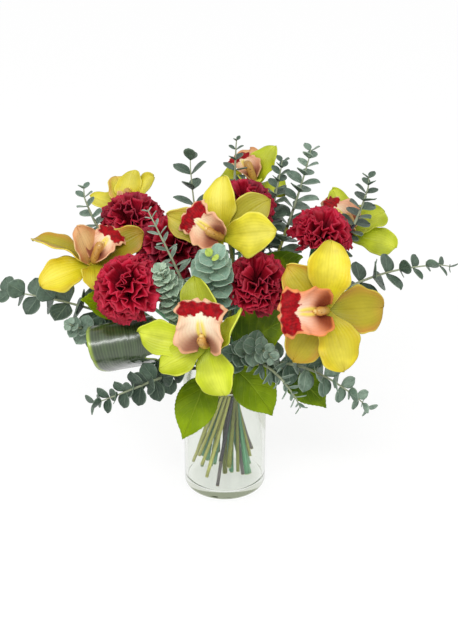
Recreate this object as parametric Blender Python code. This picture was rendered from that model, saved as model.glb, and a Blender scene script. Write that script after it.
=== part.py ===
"""Cymbidium orchids in a vase: a hand-tied bouquet standing in a clear glass cylinder.

Run with: blender --background --python part.py
Metres, +Z up. The origin is the centre of the vase's base. The front of the bouquet faces -Y.
"""

import math

import bmesh
import bpy
from mathutils import Vector
from mathutils.kdtree import KDTree

GAP = 0.0003

# Vase
VASE_RADIUS = 0.047
VASE_HEIGHT = 0.140
VASE_WALL = 0.0035
VASE_BASE = 0.009
VASE_SIDES = 36

# Bundle of stems: straight up to just above the waist, where the twine holds them in rings round one
# centre stem
WAIST = 0.120
STRAIGHT = 0.008
STEM_RADIUS = 0.0020
SLOT = 2 * STEM_RADIUS + 0.00038
RING_RADIUS = (0.0, SLOT, 2 * SLOT, 3.12 * SLOT)
RING_SLOPE = (0.0, 0.17, 0.27, 0.36)
STEM_RISE = 0.055
STEM_SIDES = 5
STEM_NECK = 0.005
PATH_STEPS = 60
PATH_STRIDE = 5
SETTLE_ROUNDS = 140
SETTLE_REACH = 0.0060
SETTLE_SMOOTHING = 0.2
RING_FOOT = (0.0, 0.0, 0.001, 0.015)
FOOT_SPREAD = 0.022
FOOT_STEPS = 7
FOOT_STRIDE = 5
TIE_HEIGHT = 0.010
TIE_THICKNESS = 0.0022
TIE_TURNS = 3
TIE_SIDES = 24

# Blooms
TEPAL_THICKNESS = 0.0018
CORE_RADIUS = 0.0060
CORE_LEVELS = (-0.0070, -0.0055, -0.0035, -0.0010, 0.0010, 0.0025)
TEPAL_SHAPE = ((0.22, 0.55), (0.52, 1.0), (0.80, 0.80), (1.0, 0.22))
TEPAL_ARCH = math.radians(28)
LIP_LENGTH = 0.048
LIP_WIDTH = 0.043
LIP_THICKNESS = 0.0022
LIP_START = 0.005
# share of the lip's length, share of its width, and the angle its run makes with the bloom's plane
LIP_SHAPE = ((0.25, 0.45, 52), (0.55, 0.95, 40), (0.80, 1.0, 22), (0.95, 0.85, -10), (1.0, 0.5, -50))
# height over the foot, lean towards the lip, radius
COLUMN_SHAPE = (
    (0.0, 0.0, 0.0052), (0.003, 0.0, 0.0052), (0.007, 0.0, 0.0050), (0.0147, 0.002, 0.0042),
    (0.021, 0.006, 0.0040),
)

CARNATION_PROFILE = (
    (0.000, 0.008), (0.007, 0.021), (0.016, 0.029), (0.026, 0.031), (0.036, 0.023), (0.042, 0.009),
)
CARNATION_SIDES = 18
RUFFLE = 0.06
CALYX_LENGTH = 0.024
CALYX_RADIUS = 0.0065
CALYX_PROFILE = ((0.25, 0.75), (0.8, 1.0), (1.0, 1.1))

# Foliage
PAIR_SPACING = 1.45
TIP_LEAF = 0.45
ROUND_LEAF_SHAPE = ((0.15, 0.25), (0.70, 0.95), (1.45, 0.92), (2.0, 0.3))
ROUND_LEAF_RAKE = 0.58
ROUND_LEAF_THICKNESS = 0.001
STALK_SHARE = 0.6

# (angle, lean, length, width) as someone facing the bloom sees it: angle 0 is right and 90 is up,
# lean is towards the viewer. The dorsal sepal comes first, then two lateral sepals, then two petals.
ORCHIDS = {
    "front": {
        "centre": (-0.018, -0.118, 0.243), "facing": (-0.22, -0.93, 0.30), "lip": 92, "lip_scale": 1.0,
        "tepals": ((285, 8, 0.056, 0.042), (176, 12, 0.073, 0.037), (106, 2, 0.070, 0.037),
                   (213, 14, 0.056, 0.036), (42, 42, 0.060, 0.030)),
    },
    "right": {
        "centre": (0.101, -0.100, 0.271), "facing": (0.02, -0.90, 0.43), "lip": 182, "lip_scale": 1.05,
        "tepals": ((2, -4, 0.064, 0.052), (130, 8, 0.060, 0.038), (238, 0, 0.062, 0.043),
                   (84, 6, 0.073, 0.046), (288, 6, 0.066, 0.046)),
    },
    "top": {
        "centre": (-0.003, -0.034, 0.324), "facing": (-0.34, -0.86, 0.38), "lip": 122, "lip_scale": 0.85,
        "tepals": ((46, 0, 0.064, 0.038), (98, 4, 0.064, 0.036), (250, 8, 0.034, 0.026),
                   (166, 24, 0.062, 0.034), (13, 15, 0.066, 0.046)),
    },
    "left": {
        "centre": (-0.137, -0.024, 0.290), "facing": (0.10, -0.50, 0.86), "lip": 56, "lip_scale": 0.85,
        "tepals": ((212, 0, 0.060, 0.044), (14, 22, 0.052, 0.038), (112, 26, 0.048, 0.034),
                   (152, 8, 0.068, 0.036), (270, 10, 0.040, 0.034)),
    },
    "back_right": {
        "centre": (0.139, 0.062, 0.286), "facing": (0.20, -0.34, 0.92), "lip": 134, "lip_scale": 0.8,
        "tepals": ((312, -4, 0.056, 0.042), (92, 38, 0.058, 0.036), (48, 14, 0.050, 0.034),
                   (8, -2, 0.050, 0.034), (240, 50, 0.030, 0.028)),
    },
    "back_top": {
        "centre": (0.032, 0.092, 0.335), "facing": (-0.10, -0.30, 0.95), "lip": 150, "lip_scale": 0.75,
        "tepals": ((340, 12, 0.046, 0.036), (60, 32, 0.050, 0.036), (190, 12, 0.044, 0.034),
                   (110, 26, 0.046, 0.034), (265, 48, 0.034, 0.028)),
    },
    "back_left": {
        "centre": (-0.110, 0.088, 0.302), "facing": (-0.10, -0.25, 0.96), "lip": 90, "lip_scale": 0.75,
        "tepals": ((270, 44, 0.036, 0.032), (30, 30, 0.052, 0.036), (172, 18, 0.052, 0.034),
                   (62, 36, 0.046, 0.034), (130, 32, 0.046, 0.034)),
    },
}

CARNATIONS = {
    "left": ((-0.093, -0.068, 0.275), (-0.45, -0.55, 0.70)),
    "centre": ((0.033, -0.048, 0.270), (0.08, -0.60, 0.79)),
    "right": ((0.102, 0.018, 0.294), (0.25, -0.25, 0.93)),
    "back_left": ((-0.100, 0.038, 0.299), (-0.16, -0.12, 0.97)),
    "upper_left": ((-0.054, -0.002, 0.286), (-0.15, -0.40, 0.90)),
    "back_top": ((0.019, 0.020, 0.324), (0.05, 0.0, 1.0)),
}

# knee and tip of each sprig's path, how much of it carries leaves, and the biggest leaf's radius
EUCALYPTUS = {
    "far_left": ((-0.150, -0.062, 0.270), (-0.245, -0.010, 0.250), 0.125, 0.0140),
    "mid_left": ((-0.142, -0.006, 0.186), (-0.161, -0.070, 0.240), 0.050, 0.0090),
    "low_left": ((-0.062, -0.120, 0.200), (-0.136, -0.110, 0.168), 0.076, 0.0110),
    "back_left": ((-0.156, 0.014, 0.276), (-0.150, 0.024, 0.356), 0.040, 0.0076),
    "slim_left": ((-0.034, -0.100, 0.290), (-0.077, -0.060, 0.364), 0.070, 0.0070),
    "upper_left": ((-0.038, 0.020, 0.310), (-0.037, 0.055, 0.377), 0.125, 0.0115),
    "top": ((0.008, 0.072, 0.330), (0.013, 0.070, 0.394), 0.050, 0.0075),
    "top_middle": ((0.055, 0.042, 0.322), (0.062, 0.046, 0.378), 0.065, 0.0080),
    "top_right": ((0.084, 0.056, 0.325), (0.094, 0.070, 0.382), 0.072, 0.0110),
    "back_right": ((0.160, 0.022, 0.282), (0.155, 0.040, 0.362), 0.045, 0.0085),
    "far_right": ((0.140, -0.030, 0.310), (0.245, 0.004, 0.272), 0.110, 0.0115),
    "low_right": ((0.080, -0.110, 0.245), (0.152, -0.090, 0.150), 0.095, 0.0110),
    "slim_front": ((0.045, -0.090, 0.240), (0.079, -0.115, 0.165), 0.055, 0.0070),
    "under_centre": ((0.036, -0.064, 0.226), (0.048, -0.110, 0.222), 0.050, 0.0105),
    "rosette": ((-0.012, -0.050, 0.276), (-0.012, -0.088, 0.326), 0.055, 0.0130),
    "mint": ((-0.046, -0.084, 0.262), (-0.064, -0.094, 0.314), 0.055, 0.0085),
}

# stems in the middle of the bundle, ring by ring; every other stem is in the outer ring
INNER_RINGS = (
    ("orchid_top",),
    ("orchid_back_top", "carnation_centre", "carnation_upper_left", "carnation_back_top",
     "eucalyptus_rosette"),
    ("orchid_front", "orchid_right", "orchid_left", "carnation_left", "carnation_right",
     "carnation_back_left", "eucalyptus_slim_left", "eucalyptus_mint", "eucalyptus_upper_left",
     "eucalyptus_top", "eucalyptus_top_middle", "eucalyptus_top_right"),
)

# knee, tip, way the blade's top side looks, blade length, blade width
LEAVES = {
    "front_left": ((-0.006, -0.056, 0.192), (-0.046, -0.078, 0.104), (-0.3, -0.9, 0.3), 0.078, 0.046),
    "front_right": ((0.012, -0.056, 0.202), (0.052, -0.062, 0.124), (0.2, -0.9, 0.3), 0.070, 0.046),
    "right": ((0.062, -0.050, 0.205), (0.110, -0.062, 0.134), (0.3, -0.8, 0.5), 0.068, 0.042),
    "left": ((-0.090, -0.030, 0.244), (-0.150, -0.058, 0.262), (-0.2, -0.7, 0.7), 0.064, 0.036),
    "inner_right": ((0.040, -0.040, 0.225), (0.070, -0.076, 0.250), (-0.1, -0.7, 0.7), 0.066, 0.044),
    "back": ((0.010, 0.060, 0.215), (0.000, 0.112, 0.200), (0.0, 0.7, 0.7), 0.072, 0.044),
    "behind_right": ((0.058, 0.000, 0.270), (0.082, -0.034, 0.300), (0.0, -0.6, 0.8), 0.062, 0.042),
}
LEAF_SHAPE = ((0.06, 0.10), (0.22, 0.66), (0.45, 1.0), (0.70, 0.78), (0.90, 0.34), (1.0, 0.06))
LEAF_THICKNESS = 0.0019
LEAF_THINS = 0.125

LOOP_AXIS = (0.96, 0.18, 0.10)
LOOP_CENTRE = (-0.102, -0.074, 0.222)
LOOP_RADIUS = 0.022
LOOP_WIDTH = 0.066
LOOP_START = math.radians(215)
LOOP_SWEEP = math.radians(-262)
LOOP_STEPS = 11


def clear_scene():
    for obj in list(bpy.data.objects):
        bpy.data.objects.remove(obj, do_unlink=True)


def material(name, colour, roughness, transmission=0.0):
    made = bpy.data.materials.new(name)
    made.use_nodes = True
    shader = made.node_tree.nodes["Principled BSDF"]
    shader.inputs["Base Color"].default_value = (*colour, 1.0)
    shader.inputs["Roughness"].default_value = roughness
    shader.inputs["Transmission Weight"].default_value = transmission
    return made


def finish(name, bm, colouring):
    """Turn the bmesh into a named object with its material."""
    bmesh.ops.recalc_face_normals(bm, faces=bm.faces)
    mesh = bpy.data.meshes.new(name)
    bm.to_mesh(mesh)
    bm.free()
    mesh.materials.append(colouring)
    mesh.shade_smooth()
    mesh.set_sharp_from_angle(angle=math.radians(40))
    obj = bpy.data.objects.new(name, mesh)
    bpy.context.scene.collection.objects.link(obj)
    return obj


def ring(bm, centre, across, thick, sides):
    points = []
    for k in range(sides):
        turn = 2 * math.pi * (k + 0.5) / sides
        points.append(bm.verts.new(centre + across * math.cos(turn) + thick * math.sin(turn)))
    return points


def skin(bm, rings):
    """Side faces between neighbouring rings, as rows of quads."""
    rows = []
    for low, high in zip(rings, rings[1:]):
        sides = len(low)
        rows.append([
            bm.faces.new((low[k], low[(k + 1) % sides], high[(k + 1) % sides], high[k]))
            for k in range(sides)
        ])
    return rows


def loft(bm, sections, sides):
    """A closed body through (centre, across, thick) sections, and its rows of side faces."""
    rings = [ring(bm, *section, sides) for section in sections]
    rows = skin(bm, rings)
    bm.faces.new(list(reversed(rings[0])))
    bm.faces.new(rings[-1])
    return rows


def bezier(controls, t):
    a, b, c, d = controls
    s = 1 - t
    return a * s**3 + b * 3 * s * s * t + c * 3 * s * t * t + d * t**3


def lengths_along(points):
    run = [0.0]
    for a, b in zip(points, points[1:]):
        run.append(run[-1] + (b - a).length)
    return run


def tangents(points):
    ends = [points[0], *points, points[-1]]
    return [(after - before).normalized() for before, after in zip(ends, ends[2:])]


def carried_frames(points, start_side):
    """A side vector and a binormal at each point, turned as little as possible along the path."""
    frames = []
    side = start_side
    for tangent in tangents(points):
        side = (side - tangent * side.dot(tangent)).normalized()
        frames.append((side, tangent.cross(side)))
    return frames


class Slot:
    """A stem's place in the bundle: where it crosses the waist and which way it runs there."""

    def __init__(self, ring_number, angle):
        radius = RING_RADIUS[ring_number]
        slope = RING_SLOPE[ring_number]
        self.waist = Vector((radius * math.cos(angle), radius * math.sin(angle), WAIST))
        self.way = Vector((-slope * math.sin(angle), slope * math.cos(angle), 1.0))
        self.lowest_foot = VASE_BASE + GAP + STEM_RADIUS * slope + RING_FOOT[ring_number]

    def at(self, height):
        return self.waist + self.way * (height - WAIST)


def foot_heights(slots):
    """Cut ends at uneven heights. The outer stems end higher, and a few inner ones stand on the base."""
    feet = {}
    for count, (name, slot) in enumerate(slots.items()):
        step = count * FOOT_STRIDE % FOOT_STEPS
        feet[name] = slot.lowest_foot + FOOT_SPREAD * step / FOOT_STEPS
    return feet


def azimuth(point):
    return math.atan2(point[1], point[0])


def bundle_slots():
    """Give every stem a slot, in the order of its head's direction, so that no two stems cross."""
    heads = {"strap_leaf": LOOP_CENTRE}
    heads.update({"orchid_" + name: orchid["centre"] for name, orchid in ORCHIDS.items()})
    heads.update({"carnation_" + name: centre for name, (centre, _) in CARNATIONS.items()})
    heads.update({"eucalyptus_" + name: knee for name, (knee, *_) in EUCALYPTUS.items()})
    heads.update({"leaf_" + name: knee for name, (knee, *_) in LEAVES.items()})
    slots = {}
    inner = sum(INNER_RINGS, ())
    outer = tuple(name for name in heads if name not in inner)
    for number, names in enumerate((*INNER_RINGS, outer)):
        members = sorted(names, key=lambda name: azimuth(heads[name]))
        step = 2 * math.pi / len(members)
        start = sum(azimuth(heads[name]) - k * step for k, name in enumerate(members)) / len(members)
        for k, name in enumerate(members):
            slots[name] = Slot(number, start + k * step - math.pi / 2)
    return slots


def stem_route(slot, knee, tip):
    """One bend from the top of the tie, by way of the knee, to the tip."""
    controls = (slot.at(WAIST + STRAIGHT), slot.at(WAIST + STEM_RISE), Vector(knee), Vector(tip))
    return [bezier(controls, k / PATH_STEPS) for k in range(PATH_STEPS + 1)]


def settle(routes):
    """Press crossing stems apart, as stems in a bunch do. Their ends stay where they are."""
    free = range(3, PATH_STEPS - 3)
    names = list(routes)
    for _ in range(SETTLE_ROUNDS):
        tree = KDTree(len(names) * (PATH_STEPS + 1))
        for number, name in enumerate(names):
            for k, point in enumerate(routes[name]):
                tree.insert(point, number * (PATH_STEPS + 1) + k)
        tree.balance()
        for number, name in enumerate(names):
            route = routes[name]
            pushes = [press(tree, route[k], number) for k in free]
            for k, push in zip(free, pushes):
                sag = (route[k - 1] + route[k + 1]) / 2 - route[k]
                route[k] += push + sag * SETTLE_SMOOTHING
    return routes


def press(tree, point, owner):
    """How far this point moves away from the points of other stems that lie too near."""
    push = Vector((0, 0, 0))
    for other, index, distance in tree.find_range(point, SETTLE_REACH):
        if index // (PATH_STEPS + 1) != owner and distance > 0:
            push += (point - other) * (0.5 * (SETTLE_REACH - distance) / distance)
    return push


def full_path(slot, foot, route, stride):
    """The straight run below the waist, then every few points of the route, ending at its tip."""
    path = [slot.at(foot), slot.at((foot + WAIST) / 2), slot.at(WAIST - STRAIGHT)]
    return path + route[:-1:stride] + [route[-1]]


def tube_sections(points, radii):
    frames = carried_frames(points, Vector((1, 0, 0)))
    return [(p, side * r, across * r) for p, (side, across), r in zip(points, frames, radii)]


def make_vase(glass):
    profile = [
        (VASE_RADIUS - 0.006, 0.0), (VASE_RADIUS - 0.0015, 0.0015), (VASE_RADIUS, 0.006),
        (VASE_RADIUS, VASE_HEIGHT - 0.001), (VASE_RADIUS - 0.001, VASE_HEIGHT),
        (VASE_RADIUS - VASE_WALL + 0.001, VASE_HEIGHT), (VASE_RADIUS - VASE_WALL, VASE_HEIGHT - 0.001),
        (VASE_RADIUS - VASE_WALL, VASE_BASE + 0.005), (VASE_RADIUS - VASE_WALL - 0.0015, VASE_BASE + 0.0015),
        (VASE_RADIUS - VASE_WALL - 0.005, VASE_BASE),
    ]
    bm = bmesh.new()
    sections = [(Vector((0, 0, z)), Vector((r, 0, 0)), Vector((0, r, 0))) for r, z in profile]
    loft(bm, sections, VASE_SIDES)
    return finish("vase", bm, glass)


def make_tie(twine):
    inner = math.hypot(RING_RADIUS[3], RING_SLOPE[3] * TIE_HEIGHT / 2) + STEM_RADIUS * 1.06 + GAP
    rows = TIE_TURNS * 2
    profile = []
    for k in range(rows + 1):
        bulge = TIE_THICKNESS * (1.0 if k % 2 else 0.7)
        profile.append((inner + bulge, WAIST - TIE_HEIGHT / 2 + TIE_HEIGHT * k / rows))
    profile += [(inner, WAIST + TIE_HEIGHT / 2), (inner, WAIST - TIE_HEIGHT / 2)]
    bm = bmesh.new()
    rings = [
        ring(bm, Vector((0, 0, z)), Vector((r, 0, 0)), Vector((0, r, 0)), TIE_SIDES) for r, z in profile
    ]
    skin(bm, [*rings, rings[0]])
    return finish("twine", bm, twine)


def bloom_axes(facing, angle):
    """Unit vectors of a bloom: its facing way, and the way at this angle in its own plane."""
    normal = Vector(facing).normalized()
    up = (Vector((0, 0, 1)) - normal * normal.z).normalized()
    right = up.cross(normal)
    turn = math.radians(angle)
    return normal, right * math.cos(turn) + up * math.sin(turn)


def tepal_sections(start, way, normal, lean, length, width):
    sections = []
    centre = start
    across = normal.cross(way).normalized()
    before = 0.0
    for share, breadth in TEPAL_SHAPE:
        bend = math.radians(lean) + TEPAL_ARCH * (0.5 - share)
        along = way * math.cos(bend) + normal * math.sin(bend)
        centre = centre + along * (length * (share - before))
        before = share
        upward = across.cross(along) * -1
        sections.append((centre, across * width / 2 * breadth, upward * TEPAL_THICKNESS / 2))
    return sections


def make_tepals(name, orchid, colouring):
    normal, dorsal = bloom_axes(orchid["facing"], orchid["tepals"][0][0])
    side = dorsal.cross(normal)
    centre = Vector(orchid["centre"])
    bm = bmesh.new()
    sections = [
        (centre + normal * level, dorsal * CORE_RADIUS, side * -CORE_RADIUS) for level in CORE_LEVELS
    ]
    rows = loft(bm, sections, 10)
    for number, (angle, lean, length, width) in enumerate(orchid["tepals"]):
        level = 1 if number < 3 else 3
        _, way = bloom_axes(orchid["facing"], angle)
        face = max(
            (f for f in rows[level] if f.is_valid),
            key=lambda f: (f.calc_center_median() - centre).dot(way),
        )
        start = centre + normal * (CORE_LEVELS[level] + CORE_LEVELS[level + 1]) / 2 + way * CORE_RADIUS
        grow_blade(bm, face, tepal_sections(start, way, normal, lean, length - CORE_RADIUS, width))
    return finish(f"orchid_{name}_tepals", bm, colouring)


def corner_points(centre, wide, thick):
    return [centre + wide * a + thick * b for a, b in ((-1, -1), (1, -1), (1, 1), (-1, 1))]


def matched_corners(face, section):
    """The face's corners in the order that lies nearest to the section's."""
    centre = face.calc_center_median()
    wanted = corner_points(centre, section[1], section[2])
    corners = list(face.verts)
    orders = [way[k:] + way[:k] for way in (corners, corners[::-1]) for k in range(4)]
    return min(orders, key=lambda order: sum((v.co - w).length for v, w in zip(order, wanted)))


def grow_blade(bm, face, sections):
    """Replace a four-sided face with a blade that runs through the sections."""
    low = matched_corners(face, sections[0])
    bm.faces.remove(face)
    for section in sections:
        high = [bm.verts.new(corner) for corner in corner_points(*section)]
        for k in range(4):
            bm.faces.new((low[k], low[(k + 1) % 4], high[(k + 1) % 4], high[k]))
        low = high
    bm.faces.new(low)


def make_lip(name, orchid, colouring):
    """The lip and the column over it, which share one foot on the front of the bloom's core."""
    normal, way = bloom_axes(orchid["facing"], orchid["lip"])
    side = normal.cross(way)
    foot = Vector(orchid["centre"]) + normal * (CORE_LEVELS[-1] + GAP)
    scale = orchid["lip_scale"]
    bm = bmesh.new()
    sections = []
    for height, lean, radius in COLUMN_SHAPE:
        sections.append((foot + normal * height + way * lean, way * radius, side * radius))
    rows = loft(bm, sections, 8)
    start = foot + (normal + way) * LIP_START
    blade = []
    centre = start
    before = 0.0
    for share, breadth, rise in LIP_SHAPE:
        bend = math.radians(rise)
        along = way * math.cos(bend) + normal * math.sin(bend)
        centre = centre + along * (LIP_LENGTH * scale * (share - before))
        before = share
        upward = side.cross(along) * -1
        blade.append((centre, side * LIP_WIDTH * scale / 2 * breadth, upward * LIP_THICKNESS / 2))
    face = max(rows[1], key=lambda f: (f.calc_center_median() - foot).dot(way))
    grow_blade(bm, face, blade)
    return finish(f"orchid_{name}_lip", bm, colouring)


def orchid_tip(orchid):
    normal, _ = bloom_axes(orchid["facing"], 0)
    tip = Vector(orchid["centre"]) + normal * (CORE_LEVELS[0] - GAP - STEM_NECK)
    return tip - normal * 0.05, tip


def make_orchid_stem(name, facing, path, colouring):
    """The stem's last run is straight, square to the back of the bloom."""
    normal, _ = bloom_axes(facing, 0)
    path = path + [path[-1] + normal * STEM_NECK]
    bm = bmesh.new()
    loft(bm, tube_sections(path, [STEM_RADIUS] * len(path)), STEM_SIDES)
    return finish(f"orchid_{name}_stem", bm, colouring)


def carnation_tip(carnation):
    centre, facing = carnation
    normal, _ = bloom_axes(facing, 0)
    tip = Vector(centre) - normal * (GAP + CALYX_LENGTH)
    return tip - normal * 0.05, tip


def make_carnation(name, centre, facing, path, petals, green):
    """The ruffled head, and the stem that widens into the calyx under it."""
    normal, side = bloom_axes(facing, 0)
    across = normal.cross(side)
    base = Vector(centre)
    bm = bmesh.new()
    rings = []
    for level, (height, radius) in enumerate(CARNATION_PROFILE):
        loop = []
        for k in range(CARNATION_SIDES):
            turn = 2 * math.pi * k / CARNATION_SIDES
            ruffle = 1 + (RUFFLE if (k + level) % 2 else -RUFFLE) * (height > 0)
            out = (side * math.cos(turn) + across * math.sin(turn)) * radius * ruffle
            loop.append(bm.verts.new(base + normal * height + out))
        rings.append(loop)
    skin(bm, rings)
    bm.faces.new(list(reversed(rings[0])))
    bm.faces.new(rings[-1])
    head = finish(f"carnation_{name}_head", bm, petals)
    radii = [STEM_RADIUS] * len(path)
    path = path + [path[-1] + normal * CALYX_LENGTH * height for height, _ in CALYX_PROFILE]
    radii += [CALYX_RADIUS * breadth for _, breadth in CALYX_PROFILE]
    bm = bmesh.new()
    loft(bm, tube_sections(path, radii), STEM_SIDES + 1)
    return head, finish(f"carnation_{name}_stem", bm, green)


def make_sprig(name, leafy, leaf_radius, path, colouring):
    """A eucalyptus stem with opposite pairs of round leaves, each pair turned across the last."""
    run = lengths_along(path)
    total = run[-1]
    pairs = max(2, round(leafy / (leaf_radius * PAIR_SPACING)))
    wanted = [total - leafy * (1 - k / pairs) for k in range(pairs)]
    marks = sorted({min(range(len(run) - 2), key=lambda i: abs(run[i] - w)) for w in wanted})
    kept = set(range(3)) | set(range(3, len(path), PATH_STRIDE)) | {len(path) - 1}
    kept = sorted(kept | set(marks) | {mark + 1 for mark in marks})
    frames = carried_frames(path, Vector((1, 0, 0)))
    sections = []
    for i in kept:
        radius = STEM_RADIUS * min(1.0, max(0.3, (1 - run[i] / total) * 1.6 + 0.25))
        sections.append((path[i], frames[i][0] * radius, frames[i][1] * radius))
    bm = bmesh.new()
    rows = loft(bm, sections, 4)
    ways = tangents(path)
    for number, mark in enumerate(marks):
        radius = leaf_radius * (TIP_LEAF + (1 - TIP_LEAF) * (1 - (run[mark] - (total - leafy)) / leafy))
        row = rows[kept.index(mark)]
        for half in (0, 2):
            face = row[half + number % 2]
            grow_leaf(bm, face, (path[mark] + path[mark + 1]) / 2, ways[mark], radius)
    return finish(f"eucalyptus_{name}", bm, colouring)


def grow_leaf(bm, face, middle, along, radius):
    out = (face.calc_center_median() - middle).normalized()
    outward = (out + along * ROUND_LEAF_RAKE).normalized()
    wide = along.cross(out).normalized()
    thick = wide.cross(outward).normalized()
    start = face.calc_center_median()
    sections = []
    for share, breadth in ROUND_LEAF_SHAPE:
        reach = outward * radius * share
        sections.append((start + reach, wide * radius * breadth, thick * ROUND_LEAF_THICKNESS / 2))
    grow_blade(bm, face, sections)


def blade_frames(points, facing):
    frames = []
    for tangent in tangents(points):
        across = tangent.cross(Vector(facing)).normalized()
        frames.append((across, across.cross(tangent).normalized()))
    return frames


def width_at(share):
    before = (0.0, 0.05)
    for place, breadth in LEAF_SHAPE:
        if share <= place:
            mix = (share - before[0]) / (place - before[0])
            return before[1] + (breadth - before[1]) * mix
        before = (place, breadth)
    return LEAF_SHAPE[-1][1]


def make_leaf(name, facing, length, width, points, colouring):
    """A stalk that flattens into a pointed oval blade."""
    run = lengths_along(points)
    total = run[-1]
    frames = blade_frames(points, facing)
    sections = []
    for point, distance, (across, thick) in zip(points, run, frames):
        share = (distance - (total - length)) / length
        wide = STEM_RADIUS if distance < LEAF_THINS else STEM_RADIUS * STALK_SHARE
        deep = wide
        if share > 0:
            wide = max(width / 2 * width_at(share), 0.001)
            deep = LEAF_THICKNESS / 2
        sections.append((point, across * wide, thick * deep))
    bm = bmesh.new()
    loft(bm, sections, 6)
    return finish(f"leaf_{name}", bm, colouring)


def strap_curl():
    """The rolled part of the strap leaf: its axis, and the points of the roll."""
    axis = Vector(LOOP_AXIS).normalized()
    back = (Vector((0, 1, 0)) - axis * axis.y).normalized()
    up = axis.cross(back)
    curl = []
    for k in range(LOOP_STEPS + 1):
        turn = LOOP_START + LOOP_SWEEP * k / LOOP_STEPS
        curl.append(Vector(LOOP_CENTRE) + (back * math.cos(turn) + up * math.sin(turn)) * LOOP_RADIUS)
    return axis, curl


def strap_tip():
    _, curl = strap_curl()
    return curl[0] + (curl[0] - curl[1]) * 2.5, curl[0]


def make_strap_leaf(stalk, colouring):
    """A long leaf rolled over a level axis, its tip tucked back inside the roll."""
    axis, curl = strap_curl()
    points = stalk[:-1] + curl
    round_frames = carried_frames(points, axis)
    ways = tangents(points)
    sections = []
    blade_start = len(stalk) - 3
    for i, point in enumerate(points):
        if i < blade_start:
            across, thick = round_frames[i]
            sections.append((point, across * STEM_RADIUS, thick * STEM_RADIUS))
            continue
        share = (i - blade_start) / (len(points) - 1 - blade_start)
        across = (axis - ways[i] * axis.dot(ways[i])).normalized()
        half = LOOP_WIDTH / 2 * max(0.12, math.sin(math.pi * (0.10 + 0.85 * share)) ** 0.6)
        sections.append((point, across * half, ways[i].cross(across) * LEAF_THICKNESS / 2))
    bm = bmesh.new()
    loft(bm, sections, 6)
    return finish("strap_leaf", bm, colouring)


def stem_paths():
    """Every stem's full path, by the name of the piece it carries."""
    ends = {"strap_leaf": strap_tip()}
    ends.update({"orchid_" + name: orchid_tip(orchid) for name, orchid in ORCHIDS.items()})
    ends.update({"carnation_" + name: carnation_tip(flower) for name, flower in CARNATIONS.items()})
    ends.update({"eucalyptus_" + name: sprig[:2] for name, sprig in EUCALYPTUS.items()})
    ends.update({"leaf_" + name: leaf[:2] for name, leaf in LEAVES.items()})
    slots = bundle_slots()
    feet = foot_heights(slots)
    routes = settle({name: stem_route(slots[name], *ends[name]) for name in slots})
    paths = {}
    for name, route in routes.items():
        stride = 1 if name.startswith("eucalyptus") else PATH_STRIDE
        paths[name] = full_path(slots[name], feet[name], route, stride)
    return paths


def main():
    clear_scene()
    glass = material("clear_glass", (0.93, 0.97, 0.95), 0.03, 1.0)
    twine = material("twine", (0.55, 0.40, 0.24), 0.9)
    tepal = material("orchid_tepal", (0.72, 0.68, 0.08), 0.45)
    lip = material("orchid_lip", (0.62, 0.10, 0.08), 0.45)
    petals = material("carnation_petal", (0.42, 0.01, 0.03), 0.7)
    green = material("green_stem", (0.16, 0.33, 0.14), 0.5)
    euca = material("eucalyptus_leaf", (0.13, 0.22, 0.17), 0.6)
    salal = material("oval_leaf", (0.22, 0.34, 0.02), 0.5)
    strap = material("strap_leaf", (0.06, 0.10, 0.05), 0.3)
    make_vase(glass)
    make_tie(twine)
    paths = stem_paths()
    for name, orchid in ORCHIDS.items():
        make_tepals(name, orchid, tepal)
        make_lip(name, orchid, lip)
        make_orchid_stem(name, orchid["facing"], paths["orchid_" + name], green)
    for name, (centre, facing) in CARNATIONS.items():
        make_carnation(name, centre, facing, paths["carnation_" + name], petals, green)
    for name, (_, _, leafy, radius) in EUCALYPTUS.items():
        make_sprig(name, leafy, radius, paths["eucalyptus_" + name], euca)
    for name, (_, _, facing, length, width) in LEAVES.items():
        make_leaf(name, facing, length, width, paths["leaf_" + name], salal)
    make_strap_leaf(paths["strap_leaf"], strap)


main()
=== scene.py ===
# %% [markdown]
# # Cymbidium orchids in a vase
# A hand-tied bouquet stands in a clear glass cylinder: seven cymbidium orchids, six carnations,
# sixteen sprigs of eucalyptus, seven oval leaves and one long strap leaf rolled into a loop. The
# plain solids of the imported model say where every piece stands. This script grows a finished piece
# in the place of each.

# %% Load the frame
import math
import random as chance
from collections import namedtuple

import bpy
import numpy as np
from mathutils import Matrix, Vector
from mathutils.kdtree import KDTree


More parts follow.
